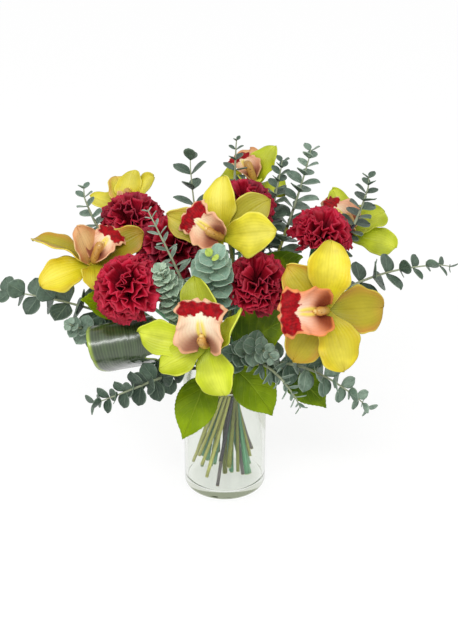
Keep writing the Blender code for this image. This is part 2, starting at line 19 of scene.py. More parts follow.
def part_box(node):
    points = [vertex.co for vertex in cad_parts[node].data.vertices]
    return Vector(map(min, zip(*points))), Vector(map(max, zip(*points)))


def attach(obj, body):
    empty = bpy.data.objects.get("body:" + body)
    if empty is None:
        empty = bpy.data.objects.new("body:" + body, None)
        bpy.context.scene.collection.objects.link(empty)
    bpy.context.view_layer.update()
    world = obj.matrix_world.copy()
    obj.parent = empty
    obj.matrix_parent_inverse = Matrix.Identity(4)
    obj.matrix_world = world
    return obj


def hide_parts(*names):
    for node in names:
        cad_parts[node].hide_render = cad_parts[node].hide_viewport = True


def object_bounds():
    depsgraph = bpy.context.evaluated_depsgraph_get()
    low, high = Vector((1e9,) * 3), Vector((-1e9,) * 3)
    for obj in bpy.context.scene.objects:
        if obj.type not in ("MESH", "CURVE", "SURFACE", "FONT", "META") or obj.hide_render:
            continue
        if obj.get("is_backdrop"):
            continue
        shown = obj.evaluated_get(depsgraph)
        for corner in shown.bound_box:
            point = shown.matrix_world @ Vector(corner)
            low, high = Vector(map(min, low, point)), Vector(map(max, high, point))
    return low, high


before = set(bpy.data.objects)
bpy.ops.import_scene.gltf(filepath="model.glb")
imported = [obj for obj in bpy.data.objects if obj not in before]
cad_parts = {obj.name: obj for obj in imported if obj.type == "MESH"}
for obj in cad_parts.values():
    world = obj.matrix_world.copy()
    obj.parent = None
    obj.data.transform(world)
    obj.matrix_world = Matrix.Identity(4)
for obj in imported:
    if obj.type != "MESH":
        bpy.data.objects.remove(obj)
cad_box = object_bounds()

print("nodes in the frame:", len(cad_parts))
print("size in metres:", [round(high - low, 4) for low, high in zip(*cad_box)])

# %% [markdown]
# ## The view
# The bouquet is seen from the front and a little above, through a long lens, so that it keeps its
# real proportions. The camera looks at its middle from 27 degrees above the table.

# %% Camera
MIDDLE = Vector((0.00475, 0.0, 0.211))
DISTANCE = 1.3775
RAISED = math.radians(27)
LENS = 98.25
SENSOR = 36


def set_camera():
    """Put a camera in front of the bouquet, looking down at its middle."""
    data = bpy.data.cameras.new("front_camera")
    data.sensor_fit = "HORIZONTAL"
    data.sensor_width = SENSOR
    data.lens = LENS
    camera = bpy.data.objects.new("front_camera", data)
    bpy.context.scene.collection.objects.link(camera)
    camera.location = MIDDLE + Vector((0, -math.cos(RAISED), math.sin(RAISED))) * DISTANCE
    camera.rotation_euler = (math.radians(90) - RAISED, 0, 0)
    bpy.context.scene.camera = camera
    return camera


print("camera at", [round(value, 3) for value in set_camera().location])

# %% [markdown]
# ## Shader helpers
# A finish is written in steps: numbers are added, multiplied and ramped, and colours are mixed by
# them. Nodes holds one node tree and gives each of those steps a short name.

# %% Shader helpers
def colour(code):
    """A colour written as six hex digits, in the linear numbers that shaders use."""
    parts = [int(code[k:k + 2], 16) / 255 for k in (0, 2, 4)]
    return (*[((c + 0.055) / 1.055) ** 2.4 if c > 0.04045 else c / 12.92 for c in parts], 1.0)


class Nodes:
    """The node tree of a material, a world or a group. Six hex digits stand for a colour."""

    def __init__(self, owner):
        self.owner = self.tree = owner
        if not isinstance(owner, bpy.types.NodeTree):
            owner.use_nodes = True
            self.tree = owner.node_tree
            self.tree.nodes.clear()

    def add(self, kind, inputs=None, **settings):
        """A node. Each of its inputs takes a number, a colour or another node's socket."""
        made = self.tree.nodes.new("ShaderNode" + kind)
        for key, value in settings.items():
            setattr(made, key, value)
        for key, value in (inputs or {}).items():
            if isinstance(value, bpy.types.NodeSocket):
                self.tree.links.new(value, made.inputs[key])
            else:
                made.inputs[key].default_value = colour(value) if isinstance(value, str) else value
        return made

    def calc(self, operation, *values, clamp=False):
        """One step of arithmetic between numbers or sockets."""
        inputs = dict(enumerate(values))
        return self.add("Math", inputs, operation=operation, use_clamp=clamp).outputs[0]

    def plus(self, first, second, clamp=False):
        return self.calc("ADD", first, second, clamp=clamp)

    def minus(self, first, second):
        return self.calc("SUBTRACT", first, second)

    def times(self, first, second):
        return self.calc("MULTIPLY", first, second)

    def larger(self, first, second):
        return self.calc("MAXIMUM", first, second)

    def ramp(self, value, low, high):
        """0 below low, 1 above high, and a smooth step between them."""
        inputs = {"Value": value, "From Min": low, "From Max": high}
        return self.add("MapRange", inputs, interpolation_type="SMOOTHSTEP").outputs[0]

    def fall(self, value, low, high):
        """The ramp upside down: 1 below low and 0 above high."""
        return self.minus(1.0, self.ramp(value, low, high))

    def away(self, value):
        """How far a number between 0 and 1 is from a half."""
        return self.calc("ABSOLUTE", self.minus(value, 0.5))

    def mix(self, factor, first, second, blend="MIX"):
        """Two colours blended."""
        inputs = {0: factor, 6: first, 7: second}
        return self.add("Mix", inputs, data_type="RGBA", blend_type=blend).outputs[2]

    def places(self):
        """Where a spot is in the piece's own space."""
        return self.add("TexCoord").outputs["Object"]

    def noise(self, scale, detail, places=None):
        """Cloudy noise, laid out in the piece's own space or over the places given."""
        if places is None:
            places = self.places()
        inputs = {"Vector": places, "Scale": scale, "Detail": detail}
        return self.add("TexNoise", inputs).outputs[0]

    def along(self):
        """The piece's own UV map, which runs across it and along it."""
        return self.add("UVMap", uv_map="along").outputs[0]

    def mark(self, name):
        """A mark that the piece carries, as a number."""
        return self.add("Attribute", attribute_name=name).outputs["Fac"]

    def either(self, kind, factor, first, second):
        """The output: the first shader, or the second where the factor is 1."""
        both = self.add("MixShader", {0: factor, 1: first.outputs[0], 2: second.outputs[0]})
        self.add("Output" + kind, {"Surface": both.outputs[0]})
        return self.owner

    def finish(self, base, height, depth, roughness, **fixed):
        """The output: a Principled shader with a bump, whose other settings are plain numbers."""
        bump = self.add("Bump", {"Height": height, "Distance": depth, "Strength": 1.0})
        inputs = {"Base Color": base, "Normal": bump.outputs[0], "Roughness": roughness}
        inputs.update({key.replace("_", " "): value for key, value in fixed.items()})
        shader = self.add("BsdfPrincipled", inputs)
        self.add("OutputMaterial", {"Surface": shader.outputs[0]})
        return self.owner


def new_material(name):
    return Nodes(bpy.data.materials.new(name))


print("shader helpers ready")

# %% [markdown]
# ## Table, backdrop and light
# A white studio: a pale floor that keeps the soft shadow, a white world, and one long soft lamp
# overhead. The floor and the world answer rays from the camera, from gloss and through glass with
# plain white, so the background stays clean while the light on the flowers stays at a plain level.

# %% Studio
WHITE = (1.0, 1.0, 1.0, 1.0)
WORLD_LIGHT = 0.78
FLOOR_SIZE = 8
FLOOR_TONE = (0.80, 0.80, 0.80, 1.0)
FLOOR_SHADOW = (0.34, 0.34, 0.34, 1.0)
FLOOR_GLOW = 0.72
LAMP_PLACE = Vector((-0.25, -1.00, 1.22))
LAMP_SIZE = (1.3, 0.24)
LAMP_POWER = 10.0


def seen_rays(n):
    """1 for rays from the camera, from gloss and through glass; 0 for the rays that carry light."""
    path = n.add("LightPath").outputs
    total = n.plus(path["Is Camera Ray"], path["Is Glossy Ray"])
    return n.plus(total, path["Is Transmission Ray"], clamp=True)


def make_world():
    world = bpy.data.worlds.new("white_studio")
    bpy.context.scene.world = world
    n = Nodes(world)
    light = n.add("Background", {"Color": WHITE, "Strength": WORLD_LIGHT})
    shown = n.add("Background", {"Color": WHITE, "Strength": 1.0})
    n.either("World", seen_rays(n), light, shown)


def make_floor():
    """A wide plane, white to the camera except where the bouquet shades it."""
    bpy.ops.object.select_all(action="DESELECT")
    bpy.ops.mesh.primitive_plane_add(size=FLOOR_SIZE)
    floor = bpy.context.object
    floor.name = "studio_floor"
    n = new_material("studio_floor")
    light = n.add("BsdfDiffuse", {"Color": FLOOR_TONE})
    shade = n.add("BsdfDiffuse", {"Color": FLOOR_SHADOW})
    glow = n.add("Emission", {"Color": WHITE, "Strength": FLOOR_GLOW})
    shown = n.add("AddShader", {0: shade.outputs[0], 1: glow.outputs[0]})
    floor.data.materials.append(n.either("Material", seen_rays(n), light, shown))
    floor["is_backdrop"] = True


def make_lamp():
    data = bpy.data.lights.new("long_softbox", "AREA")
    data.shape = "RECTANGLE"
    data.size, data.size_y = LAMP_SIZE
    data.energy = LAMP_POWER
    lamp = bpy.data.objects.new("long_softbox", data)
    bpy.context.scene.collection.objects.link(lamp)
    lamp.location = LAMP_PLACE
    lamp.rotation_euler = (MIDDLE - LAMP_PLACE).to_track_quat("-Z", "Y").to_euler()


make_world()
make_floor()
make_lamp()
bpy.context.scene.view_settings.view_transform = "Standard"
print("studio ready")

# %% [markdown]
# ## The plan of the bouquet
# Each bloom has a centre, a way that it faces, and tepals laid out like the hours of a clock. A
# sprig or a leaf has a knee, where its stem bends over, and a tip. These are the same measures, in
# metres, from which the plain solids were made, so each finished piece stands over its solid.

# %% Measures of the bouquet
GAP = 0.0003
VASE_BASE = 0.009
WAIST = 0.120
STRAIGHT = 0.008
STEM_RADIUS = 0.0020
STEM_GAP = 0.00038
SLOT = 2 * STEM_RADIUS + STEM_GAP
RING_RADIUS = (0.0, SLOT, 2 * SLOT, 3.12 * SLOT)
RING_SLOPE = (0.0, 0.17, 0.27, 0.36)
STEM_RISE = 0.055
STEM_NECK = 0.005
STEM_LEAD = 0.05
STRAP_LEAD = 2.5
PATH_STEPS = 60
SETTLE_ROUNDS = 140
SETTLE_REACH = 0.0060
SETTLE_SMOOTHING = 0.2
SETTLE_ENDS = 3
RING_FOOT = (0.0, 0.0, 0.001, 0.015)
FOOT_SPREAD = 0.022
FOOT_STEPS = 7
FOOT_STRIDE = 5
LOW_STEPS = 8
TIE_HEIGHT = 0.010
CORE_RADIUS = 0.0060
CORE_FRONT = 0.0025
CORE_BACK = -0.0070
TEPAL_ARCH = math.radians(28)
LIP_LENGTH = 0.048
LIP_WIDTH = 0.043
CALYX_LENGTH = 0.024
CALYX_RADIUS = 0.0065

# the lip and each tepal point along an angle, as someone facing the bloom sees it: 0 is right and
# 90 is up. A tepal has its angle, its lean towards the viewer in degrees, its length and its width.
# The dorsal sepal comes first, then two lateral sepals, then two petals.
Orchid = namedtuple("Orchid", "centre facing lip lip_scale tepals")
ORCHIDS = {
    "front": Orchid(
        (-0.018, -0.118, 0.243), (-0.22, -0.93, 0.30), 92, 1.0,
        ((285, 8, 0.056, 0.042), (176, 12, 0.073, 0.037), (106, 2, 0.070, 0.037),
         (213, 14, 0.056, 0.036), (42, 42, 0.060, 0.030)),
    ),
    "right": Orchid(
        (0.101, -0.100, 0.271), (0.02, -0.90, 0.43), 182, 1.05,
        ((2, -4, 0.064, 0.052), (130, 8, 0.060, 0.038), (238, 0, 0.062, 0.043),
         (84, 6, 0.073, 0.046), (288, 6, 0.066, 0.046)),
    ),
    "top": Orchid(
        (-0.003, -0.034, 0.324), (-0.34, -0.86, 0.38), 122, 0.85,
        ((46, 0, 0.064, 0.038), (98, 4, 0.064, 0.036), (250, 8, 0.034, 0.026),
         (166, 24, 0.062, 0.034), (13, 15, 0.066, 0.046)),
    ),
    "left": Orchid(
        (-0.137, -0.024, 0.290), (0.10, -0.50, 0.86), 56, 0.85,
        ((212, 0, 0.060, 0.044), (14, 22, 0.052, 0.038), (112, 26, 0.048, 0.034),
         (152, 8, 0.068, 0.036), (270, 10, 0.040, 0.034)),
    ),
    "back_right": Orchid(
        (0.139, 0.062, 0.286), (0.20, -0.34, 0.92), 134, 0.8,
        ((312, -4, 0.056, 0.042), (92, 38, 0.058, 0.036), (48, 14, 0.050, 0.034),
         (8, -2, 0.050, 0.034), (240, 50, 0.030, 0.028)),
    ),
    "back_top": Orchid(
        (0.032, 0.092, 0.335), (-0.10, -0.30, 0.95), 150, 0.75,
        ((340, 12, 0.046, 0.036), (60, 32, 0.050, 0.036), (190, 12, 0.044, 0.034),
         (110, 26, 0.046, 0.034), (265, 48, 0.034, 0.028)),
    ),
    "back_left": Orchid(
        (-0.110, 0.088, 0.302), (-0.10, -0.25, 0.96), 90, 0.75,
        ((270, 44, 0.036, 0.032), (30, 30, 0.052, 0.036), (172, 18, 0.052, 0.034),
         (62, 36, 0.046, 0.034), (130, 32, 0.046, 0.034)),
    ),
}

CARNATIONS = {
    "left": ((-0.093, -0.068, 0.275), (-0.45, -0.55, 0.70)),
    "centre": ((0.033, -0.048, 0.270), (0.08, -0.60, 0.79)),
    "right": ((0.102, 0.018, 0.294), (0.25, -0.25, 0.93)),
    "back_left": ((-0.100, 0.038, 0.299), (-0.16, -0.12, 0.97)),
    "upper_left": ((-0.054, -0.002, 0.286), (-0.15, -0.40, 0.90)),
    "back_top": ((0.019, 0.020, 0.324), (0.05, 0.0, 1.0)),
}

# knee and tip of each sprig's path, how much of it carries leaves, and the biggest leaf's radius
EUCALYPTUS = {
    "far_left": ((-0.150, -0.062, 0.270), (-0.245, -0.010, 0.250), 0.125, 0.0140),
    "mid_left": ((-0.142, -0.006, 0.186), (-0.161, -0.070, 0.240), 0.050, 0.0090),
    "low_left": ((-0.062, -0.120, 0.200), (-0.136, -0.110, 0.168), 0.076, 0.0110),
    "back_left": ((-0.156, 0.014, 0.276), (-0.150, 0.024, 0.356), 0.040, 0.0076),
    "slim_left": ((-0.034, -0.100, 0.290), (-0.077, -0.060, 0.364), 0.070, 0.0070),
    "upper_left": ((-0.038, 0.020, 0.310), (-0.037, 0.055, 0.377), 0.125, 0.0115),
    "top": ((0.008, 0.072, 0.330), (0.013, 0.070, 0.394), 0.050, 0.0075),
    "top_middle": ((0.055, 0.042, 0.322), (0.062, 0.046, 0.378), 0.065, 0.0080),
    "top_right": ((0.084, 0.056, 0.325), (0.094, 0.070, 0.382), 0.072, 0.0110),
    "back_right": ((0.160, 0.022, 0.282), (0.155, 0.040, 0.362), 0.045, 0.0085),
    "far_right": ((0.140, -0.030, 0.310), (0.245, 0.004, 0.272), 0.110, 0.0115),
    "low_right": ((0.080, -0.110, 0.245), (0.152, -0.090, 0.150), 0.095, 0.0110),
    "slim_front": ((0.045, -0.090, 0.240), (0.079, -0.115, 0.165), 0.055, 0.0070),
    "under_centre": ((0.036, -0.064, 0.226), (0.048, -0.110, 0.222), 0.050, 0.0105),
    "rosette": ((-0.012, -0.050, 0.276), (-0.012, -0.088, 0.326), 0.055, 0.0130),
    "mint": ((-0.046, -0.084, 0.262), (-0.064, -0.094, 0.314), 0.055, 0.0085),
}

# stems in the middle of the bundle, ring by ring; every other stem is in the outer ring
INNER_RINGS = (
    ("orchid_top",),
    ("orchid_back_top", "carnation_centre", "carnation_upper_left", "carnation_back_top",
     "eucalyptus_rosette"),
    ("orchid_front", "orchid_right", "orchid_left", "carnation_left", "carnation_right",
     "carnation_back_left", "eucalyptus_slim_left", "eucalyptus_mint", "eucalyptus_upper_left",
     "eucalyptus_top", "eucalyptus_top_middle", "eucalyptus_top_right"),
)

# knee, tip, way the blade's top side looks, blade length, blade width
LEAVES = {
    "front_left": (
        (-0.006, -0.056, 0.192), (-0.046, -0.078, 0.104), (-0.3, -0.9, 0.3), 0.078, 0.046,
    ),
    "front_right": ((0.012, -0.056, 0.202), (0.052, -0.062, 0.124), (0.2, -0.9, 0.3), 0.070, 0.046),
    "right": ((0.062, -0.050, 0.205), (0.110, -0.062, 0.134), (0.3, -0.8, 0.5), 0.068, 0.042),
    "left": ((-0.090, -0.030, 0.244), (-0.150, -0.058, 0.262), (-0.2, -0.7, 0.7), 0.064, 0.036),
    "inner_right": (
        (0.040, -0.040, 0.225), (0.070, -0.076, 0.250), (-0.1, -0.7, 0.7), 0.066, 0.044,
    ),
    "back": ((0.010, 0.060, 0.215), (0.000, 0.112, 0.200), (0.0, 0.7, 0.7), 0.072, 0.044),
    "behind_right": ((0.058, 0.000, 0.270), (0.082, -0.034, 0.300), (0.0, -0.6, 0.8), 0.062, 0.042),
}
LEAF_THINS = 0.125

LOOP_AXIS = (0.96, 0.18, 0.10)
LOOP_CENTRE = (-0.102, -0.074, 0.222)
LOOP_RADIUS = 0.022
LOOP_WIDTH = 0.066
LOOP_START = math.radians(215)
LOOP_SWEEP = math.radians(-262)
LOOP_STEPS = 11
plan = {"orchids": ORCHIDS, "carnations": CARNATIONS, "sprigs": EUCALYPTUS, "oval leaves": LEAVES}
print("planned:", ", ".join(f"{len(pieces)} {kind}" for kind, pieces in plan.items()))

# %% [markdown]
# ## How the stems run
# The stems are tied at the waist in rings round one centre stem, and each ring leans a little to
# the side, so the bundle is a spiral, as a florist ties it. Above the tie every stem bends to its
# own head, and stems that would cross are pressed apart step by step. The plain solids follow the
# same rule. It is needed here because a sprig's leaves are set along its stem.

# %% Curves and frames
def bezier(controls, t):
    a, b, c, d = controls
    s = 1 - t
    return a * s**3 + b * 3 * s * s * t + c * 3 * s * t * t + d * t**3


def lengths_along(points):
    run = [0.0]
    for a, b in zip(points, points[1:]):
        run.append(run[-1] + (b - a).length)
    return run


def tangents(points):
    ends = [points[0], *points, points[-1]]
    return [(after - before).normalized() for before, after in zip(ends, ends[2:])]


def carried_frames(points, start_side):
    """A side vector and a binormal at each point, turned as little as possible along the path."""
    frames = []
    side = start_side
    for tangent in tangents(points):
        side = (side - tangent * side.dot(tangent)).normalized()
        frames.append((side, tangent.cross(side)))
    return frames


print("curve helpers ready")

# %% Places in the bundle
class Slot:
    """A stem's place in the bundle: where it crosses the waist and which way it runs there."""

    def __init__(self, ring_number, angle):
        radius = RING_RADIUS[ring_number]
        slope = RING_SLOPE[ring_number]
        self.waist = Vector((radius * math.cos(angle), radius * math.sin(angle), WAIST))
        self.way = Vector((-slope * math.sin(angle), slope * math.cos(angle), 1.0))
        self.lowest_foot = VASE_BASE + GAP + STEM_RADIUS * slope + RING_FOOT[ring_number]

    def at(self, height):
        return self.waist + self.way * (height - WAIST)


def foot_heights(slots):
    """Cut ends at uneven heights. Each ring has its own lowest one, highest in the outer ring."""
    feet = {}
    for count, (name, slot) in enumerate(slots.items()):
        order = count * FOOT_STRIDE % FOOT_STEPS
        feet[name] = slot.lowest_foot + FOOT_SPREAD * order / FOOT_STEPS
    return feet


def azimuth(point):
    return math.atan2(point[1], point[0])


def bundle_slots(heads):
    """Give every stem a slot, in the order of its head's direction, so that no two stems cross."""
    slots = {}
    outer = tuple(name for name in heads if name not in sum(INNER_RINGS, ()))
    for number, names in enumerate((*INNER_RINGS, outer)):
        members = sorted(names, key=lambda name: azimuth(heads[name]))
        turn = 2 * math.pi / len(members)
        starts = [azimuth(heads[name]) - k * turn for k, name in enumerate(members)]
        start = sum(starts) / len(members)
        for k, name in enumerate(members):
            slots[name] = Slot(number, start + k * turn - math.pi / 2)
    return slots


print("inner stems:", sum(len(ring) for ring in INNER_RINGS))

# %% Routes of the stems
def stem_route(slot, knee, tip):
    """One bend from the top of the tie, by way of the knee, to the tip."""
    controls = (slot.at(WAIST + STRAIGHT), slot.at(WAIST + STEM_RISE), Vector(knee), Vector(tip))
    return [bezier(controls, k / PATH_STEPS) for k in range(PATH_STEPS + 1)]


def settle(routes):
    """Press crossing stems apart, as stems in a bunch do. Their ends stay where they are."""
    free = range(SETTLE_ENDS, PATH_STEPS - SETTLE_ENDS)
    names = list(routes)
    for _ in range(SETTLE_ROUNDS):
        tree = KDTree(len(names) * (PATH_STEPS + 1))
        for number, name in enumerate(names):
            for k, point in enumerate(routes[name]):
                tree.insert(point, number * (PATH_STEPS + 1) + k)
        tree.balance()
        for number, name in enumerate(names):
            route = routes[name]
            pushes = [press(tree, route[k], number) for k in free]
            for k, push in zip(free, pushes):
                sag = (route[k - 1] + route[k + 1]) / 2 - route[k]
                route[k] += push + sag * SETTLE_SMOOTHING
    return routes


def press(tree, point, owner):
    """How far this point moves away from the points of other stems that lie too near."""
    push = Vector((0, 0, 0))
    for other, index, distance in tree.find_range(point, SETTLE_REACH):
        if index // (PATH_STEPS + 1) != owner and distance > 0:
            push += (point - other) * (0.5 * (SETTLE_REACH - distance) / distance)
    return push


def full_path(slot, foot, route):
    """The straight run below the waist, and then the route to its tip."""
    rise = WAIST - STRAIGHT - foot
    path = [slot.at(foot + rise * k / LOW_STEPS) for k in range(LOW_STEPS + 1)]
    return path + route


def bloom_axes(facing, angle):
    """Unit vectors of a bloom: its facing way, and the way at this angle in its own plane."""
    normal = Vector(facing).normalized()
    up = (Vector((0, 0, 1)) - normal * normal.z).normalized()
    right = up.cross(normal)
    turn = math.radians(angle)
    return normal, right * math.cos(turn) + up * math.sin(turn)


def stem_end(centre, facing, level):
    """The knee and the tip of a stem that meets a bloom from behind, at this level on its axis."""
    normal, _ = bloom_axes(facing, 0)
    tip = Vector(centre) + normal * level
    return tip - normal * STEM_LEAD, tip


def strap_curl():
    """The rolled part of the strap leaf: its axis, and the points of the roll."""
    axis = Vector(LOOP_AXIS).normalized()
    back = (Vector((0, 1, 0)) - axis * axis.y).normalized()
    up = axis.cross(back)
    curl = []
    for k in range(LOOP_STEPS + 1):
        turn = LOOP_START + LOOP_SWEEP * k / LOOP_STEPS
        around = back * math.cos(turn) + up * math.sin(turn)
        curl.append(Vector(LOOP_CENTRE) + around * LOOP_RADIUS)
    return axis, curl


def stem_paths():
    """Every stem's full path, by the name of the piece it carries."""
    _, curl = strap_curl()
    heads = {"strap_leaf": LOOP_CENTRE}
    ends = {"strap_leaf": (curl[0] + (curl[0] - curl[1]) * STRAP_LEAD, curl[0])}
    neck = CORE_BACK - GAP - STEM_NECK
    for name, orchid in ORCHIDS.items():
        heads["orchid_" + name] = orchid.centre
        ends["orchid_" + name] = stem_end(orchid.centre, orchid.facing, neck)
    for name, (centre, facing) in CARNATIONS.items():
        heads["carnation_" + name] = centre
        ends["carnation_" + name] = stem_end(centre, facing, -GAP - CALYX_LENGTH)
    for kind, pieces in (("eucalyptus_", EUCALYPTUS), ("leaf_", LEAVES)):
        for name, (knee, tip, *_) in pieces.items():
            heads[kind + name] = knee
            ends[kind + name] = (knee, tip)
    slots = bundle_slots(heads)
    feet = foot_heights(slots)
    routes = settle({name: stem_route(slots[name], *ends[name]) for name in slots})
    return {name: full_path(slots[name], feet[name], route) for name, route in routes.items()}


PATHS = stem_paths()
longest = max(lengths_along(path)[-1] for path in PATHS.values())
print("stems:", len(PATHS), "- longest", round(longest, 3), "m")

# %% [markdown]
# ## Sheets and tubes
# A petal or a leaf starts as a flat grid, added once as a primitive for each kind. Its points are
# bent into place by a rule, copy by copy, and a Solidify modifier gives the thin sheets their real
# thickness and closed edges. A stem is a round tube drawn along its route. A piece is gathered from
# such sheets and tubes, each with its own square of the UV map and a few marks that its material
# reads.

# %% Gathering helpers
ATTRIBUTES = ("shade", "blush")


def sheet_pattern(across, along):
    """A flat grid made once: places across (-1 to 1) and along (0 to 1), as rows, and its faces."""
    bpy.ops.object.select_all(action="DESELECT")
    bpy.ops.mesh.primitive_grid_add(x_subdivisions=across, y_subdivisions=along, size=2)
    grid = bpy.context.object
    points = np.empty(len(grid.data.vertices) * 3)
    grid.data.vertices.foreach_get("co", points)
    points = points.reshape(-1, 3)
    faces = np.array([list(face.vertices) for face in grid.data.polygons])
    bpy.data.objects.remove(grid)
    return points[:, 0], (points[:, 1] + 1) / 2, faces


def through(knots, places):
    """A smooth curve through (place, value) knots, read at every place."""
    x, y = np.array(knots, float).T
    slope = np.gradient(y, x)
    i = np.clip(np.searchsorted(x, places) - 1, 0, len(x) - 2)
    span = x[i + 1] - x[i]
    t = np.clip((places - x[i]) / span, 0, 1)
    start = y[i] * (1 + 2 * t) * (1 - t) ** 2 + slope[i] * span * t * (1 - t) ** 2
    return start + y[i + 1] * t * t * (3 - 2 * t) + slope[i + 1] * span * t * t * (t - 1)


def step(values, low, high):
    """0 below low, 1 above high, and a smooth step between them."""
    t = np.clip((values - low) / (high - low), 0, 1)
    return t * t * (3 - 2 * t)


class Gathered:
    """Sheets and tubes that will be one mesh."""

    def __init__(self):
        self.points, self.faces, self.uvs, self.slots = [], [], [], []
        self.marks = {name: [] for name in ATTRIBUTES}
        self.count = 0

    def add(self, points, faces, corner_uvs, slot=0, **marks):
        """Points as rows; faces as rows of corners; one UV pair for each corner."""
        for name in ATTRIBUTES:
            self.marks[name].append(np.broadcast_to(marks.get(name, 0.0), len(points)))
        self.points.append(points)
        self.faces += (np.asarray(faces) + self.count).tolist()
        self.uvs.append(np.asarray(corner_uvs).reshape(-1, 2))
        self.slots += [slot] * len(faces)
        self.count += len(points)

    def add_sheet(self, pattern, shape, slot=0, **marks):
        """A bent copy of the pattern: shape turns its places across and along into points."""
        u, v, faces = pattern
        uv = np.stack([(u + 1) / 2, v], axis=1)
        self.add(shape(u, v), faces, uv[faces], slot, **marks)

    def add_tube(self, path, radii, sides, slot=0, **marks):
        """A round closed tube along a path. Its UV runs round it and from its foot to its tip."""
        frames = carried_frames(path, Vector((1, 0, 0.01)))
        turns = np.linspace(0, 2 * math.pi, sides, endpoint=False)
        rows = []
        for point, (side, across), radius in zip(path, frames, radii):
            way = np.outer(np.cos(turns), side) + np.outer(np.sin(turns), across)
            rows.append(np.array(point) + way * radius)
        ends = [np.array([path[0]]), np.array([path[-1]])]
        last = len(path) - 1
        faces, uvs = [], []
        for i in range(last):
            low, high = i / last, (i + 1) / last
            for k in range(sides):
                a, b = i * sides + k, i * sides + (k + 1) % sides
                faces.append((a, b, b + sides, a + sides))
                left, right = k / sides, (k + 1) / sides
                uvs.append(((left, low), (right, low), (right, high), (left, high)))
        self.add(np.concatenate(rows + ends), faces, uvs, slot, **marks)
        foot, tip = self.count - 2, self.count - 1
        first, top = foot - sides * (last + 1), foot - sides
        for k in range(sides):
            n = (k + 1) % sides
            self.faces += [[foot, first + n, first + k], [tip, top + k, top + n]]
            self.uvs.append(np.array([(0.5, 0.0)] * 3 + [(0.5, 1.0)] * 3))
            self.slots += [slot, slot]

    def build(self, name, materials, thickness=0.0):
        """The mesh object. A thickness closes its sheets with a Solidify modifier."""
        mesh = bpy.data.meshes.new(name)
        mesh.from_pydata(np.concatenate(self.points).tolist(), [], self.faces)
        layer = mesh.uv_layers.new(name="along")
        layer.data.foreach_set("uv", np.concatenate(self.uvs).astype(np.float32).ravel())
        for mark, values in self.marks.items():
            held = mesh.attributes.new(mark, "FLOAT", "POINT")
            held.data.foreach_set("value", np.concatenate(values).astype(np.float32))
        for material in materials:
            mesh.materials.append(material)
        mesh.polygons.foreach_set("material_index", np.array(self.slots, np.int32))
        mesh.shade_smooth()
        obj = bpy.data.objects.new(name, mesh)
        bpy.context.scene.collection.objects.link(obj)
        if thickness:
            choose(obj)
            wall = obj.modifiers.new("wall", "SOLIDIFY")
            wall.thickness = thickness
            wall.offset = 0
            bpy.ops.object.modifier_apply(modifier=wall.name)
        return obj


def choose(*objects):
    """Select these objects only; the first is the active one."""
    bpy.ops.object.select_all(action="DESELECT")
    for obj in objects:
        obj.select_set(True)
    bpy.context.view_layer.objects.active = objects[0]


def joined(name, *objects):
    choose(*objects)
    bpy.ops.object.join()
    objects[0].name = objects[0].data.name = name
    return objects[0]


def place(obj, slot, *nodes):
    """The piece stands for these plain solids and moves with the body that holds them."""
    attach(obj, "root")
    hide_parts(*nodes)
    triangles = sum(len(face.vertices) - 2 for face in obj.data.polygons)
    print(f"{obj.name}: {triangles} triangles")


print("gathering helpers ready")

# %% [markdown]
# ## Finishes
# Living surfaces are never one flat colour. Two small node groups carry what the finishes share:
# soft mottling, and veins that follow the blade. The second group also says how near the edge and
# how far along the blade a place is. Each finish places them with its own colours and scales.

# %% Shared node groups
def new_group(name, inputs, outputs):
    """A node group with named sockets, and its input and output sockets."""
    tree = bpy.data.node_groups.new(name, "ShaderNodeTree")
    for label, value in inputs.items():
        kind = "NodeSocketColor" if value is None else "NodeSocketFloat"
        socket = tree.interface.new_socket(label, in_out="INPUT", socket_type=kind)
        if value is not None:
            socket.default_value = value
    for label, kind in outputs.items():
        tree.interface.new_socket(label, in_out="OUTPUT", socket_type="NodeSocket" + kind)
    given = tree.nodes.new("NodeGroupInput").outputs
    return Nodes(tree), given, tree.nodes.new("NodeGroupOutput").inputs


def put_out(n, sockets, values):
    for label, value in values.items():
        n.tree.links.new(value, sockets[label])
    return n.tree


def mottle_group():
    """Soft cloudy spots over a colour, in two sizes."""
    inputs = {"Color": None, "Spots": None, "Scale": 90.0, "Amount": 0.5}
    n, given, put = new_group("soft_mottle", inputs, {"Color": "Color", "Height": "Float"})
    cloud = n.noise(given["Scale"], 3.0)
    fine = n.noise(n.times(given["Scale"], 9.0), 2.0)
    mask = n.times(n.ramp(cloud, 0.38, 0.66), given["Amount"])
    spotted = n.mix(mask, given["Color"], given["Spots"])
    return put_out(n, put, {"Color": spotted, "Height": fine})


def vein_group():
    """1 on a vein and 0 between veins, and a place's own distance from the middle and the foot."""
    inputs = {"Count": 9.0, "Slant": 0.0, "Width": 0.35}
    outputs = {"Veins": "Float", "Edge": "Float", "Midrib": "Float", "Along": "Float"}
    n, given, put = new_group("blade_veins", inputs, outputs)
    apart = n.add("SeparateXYZ", {0: n.along()}).outputs
    across = n.away(apart[0])
    run = n.times(apart[1], given["Slant"])
    lines = n.minus(n.times(across, given["Count"]), run)
    wave = n.away(n.calc("FRACT", lines))
    return put_out(n, put, {
        "Veins": n.fall(wave, 0.0, given["Width"]), "Edge": n.times(across, 2.0),
        "Midrib": n.fall(across, 0.0, 0.035), "Along": apart[1],
    })


MOTTLE = mottle_group()
VEINS = vein_group()


def veins_on(n, count, slant, width):
    inputs = {"Count": count, "Slant": slant, "Width": width}
    return n.add("Group", inputs, node_tree=VEINS).outputs


def mottled(n, base, spots, scale, amount):
    inputs = {"Color": base, "Spots": spots, "Scale": scale, "Amount": amount}
    return n.add("Group", inputs, node_tree=MOTTLE).outputs


print("shared groups ready")

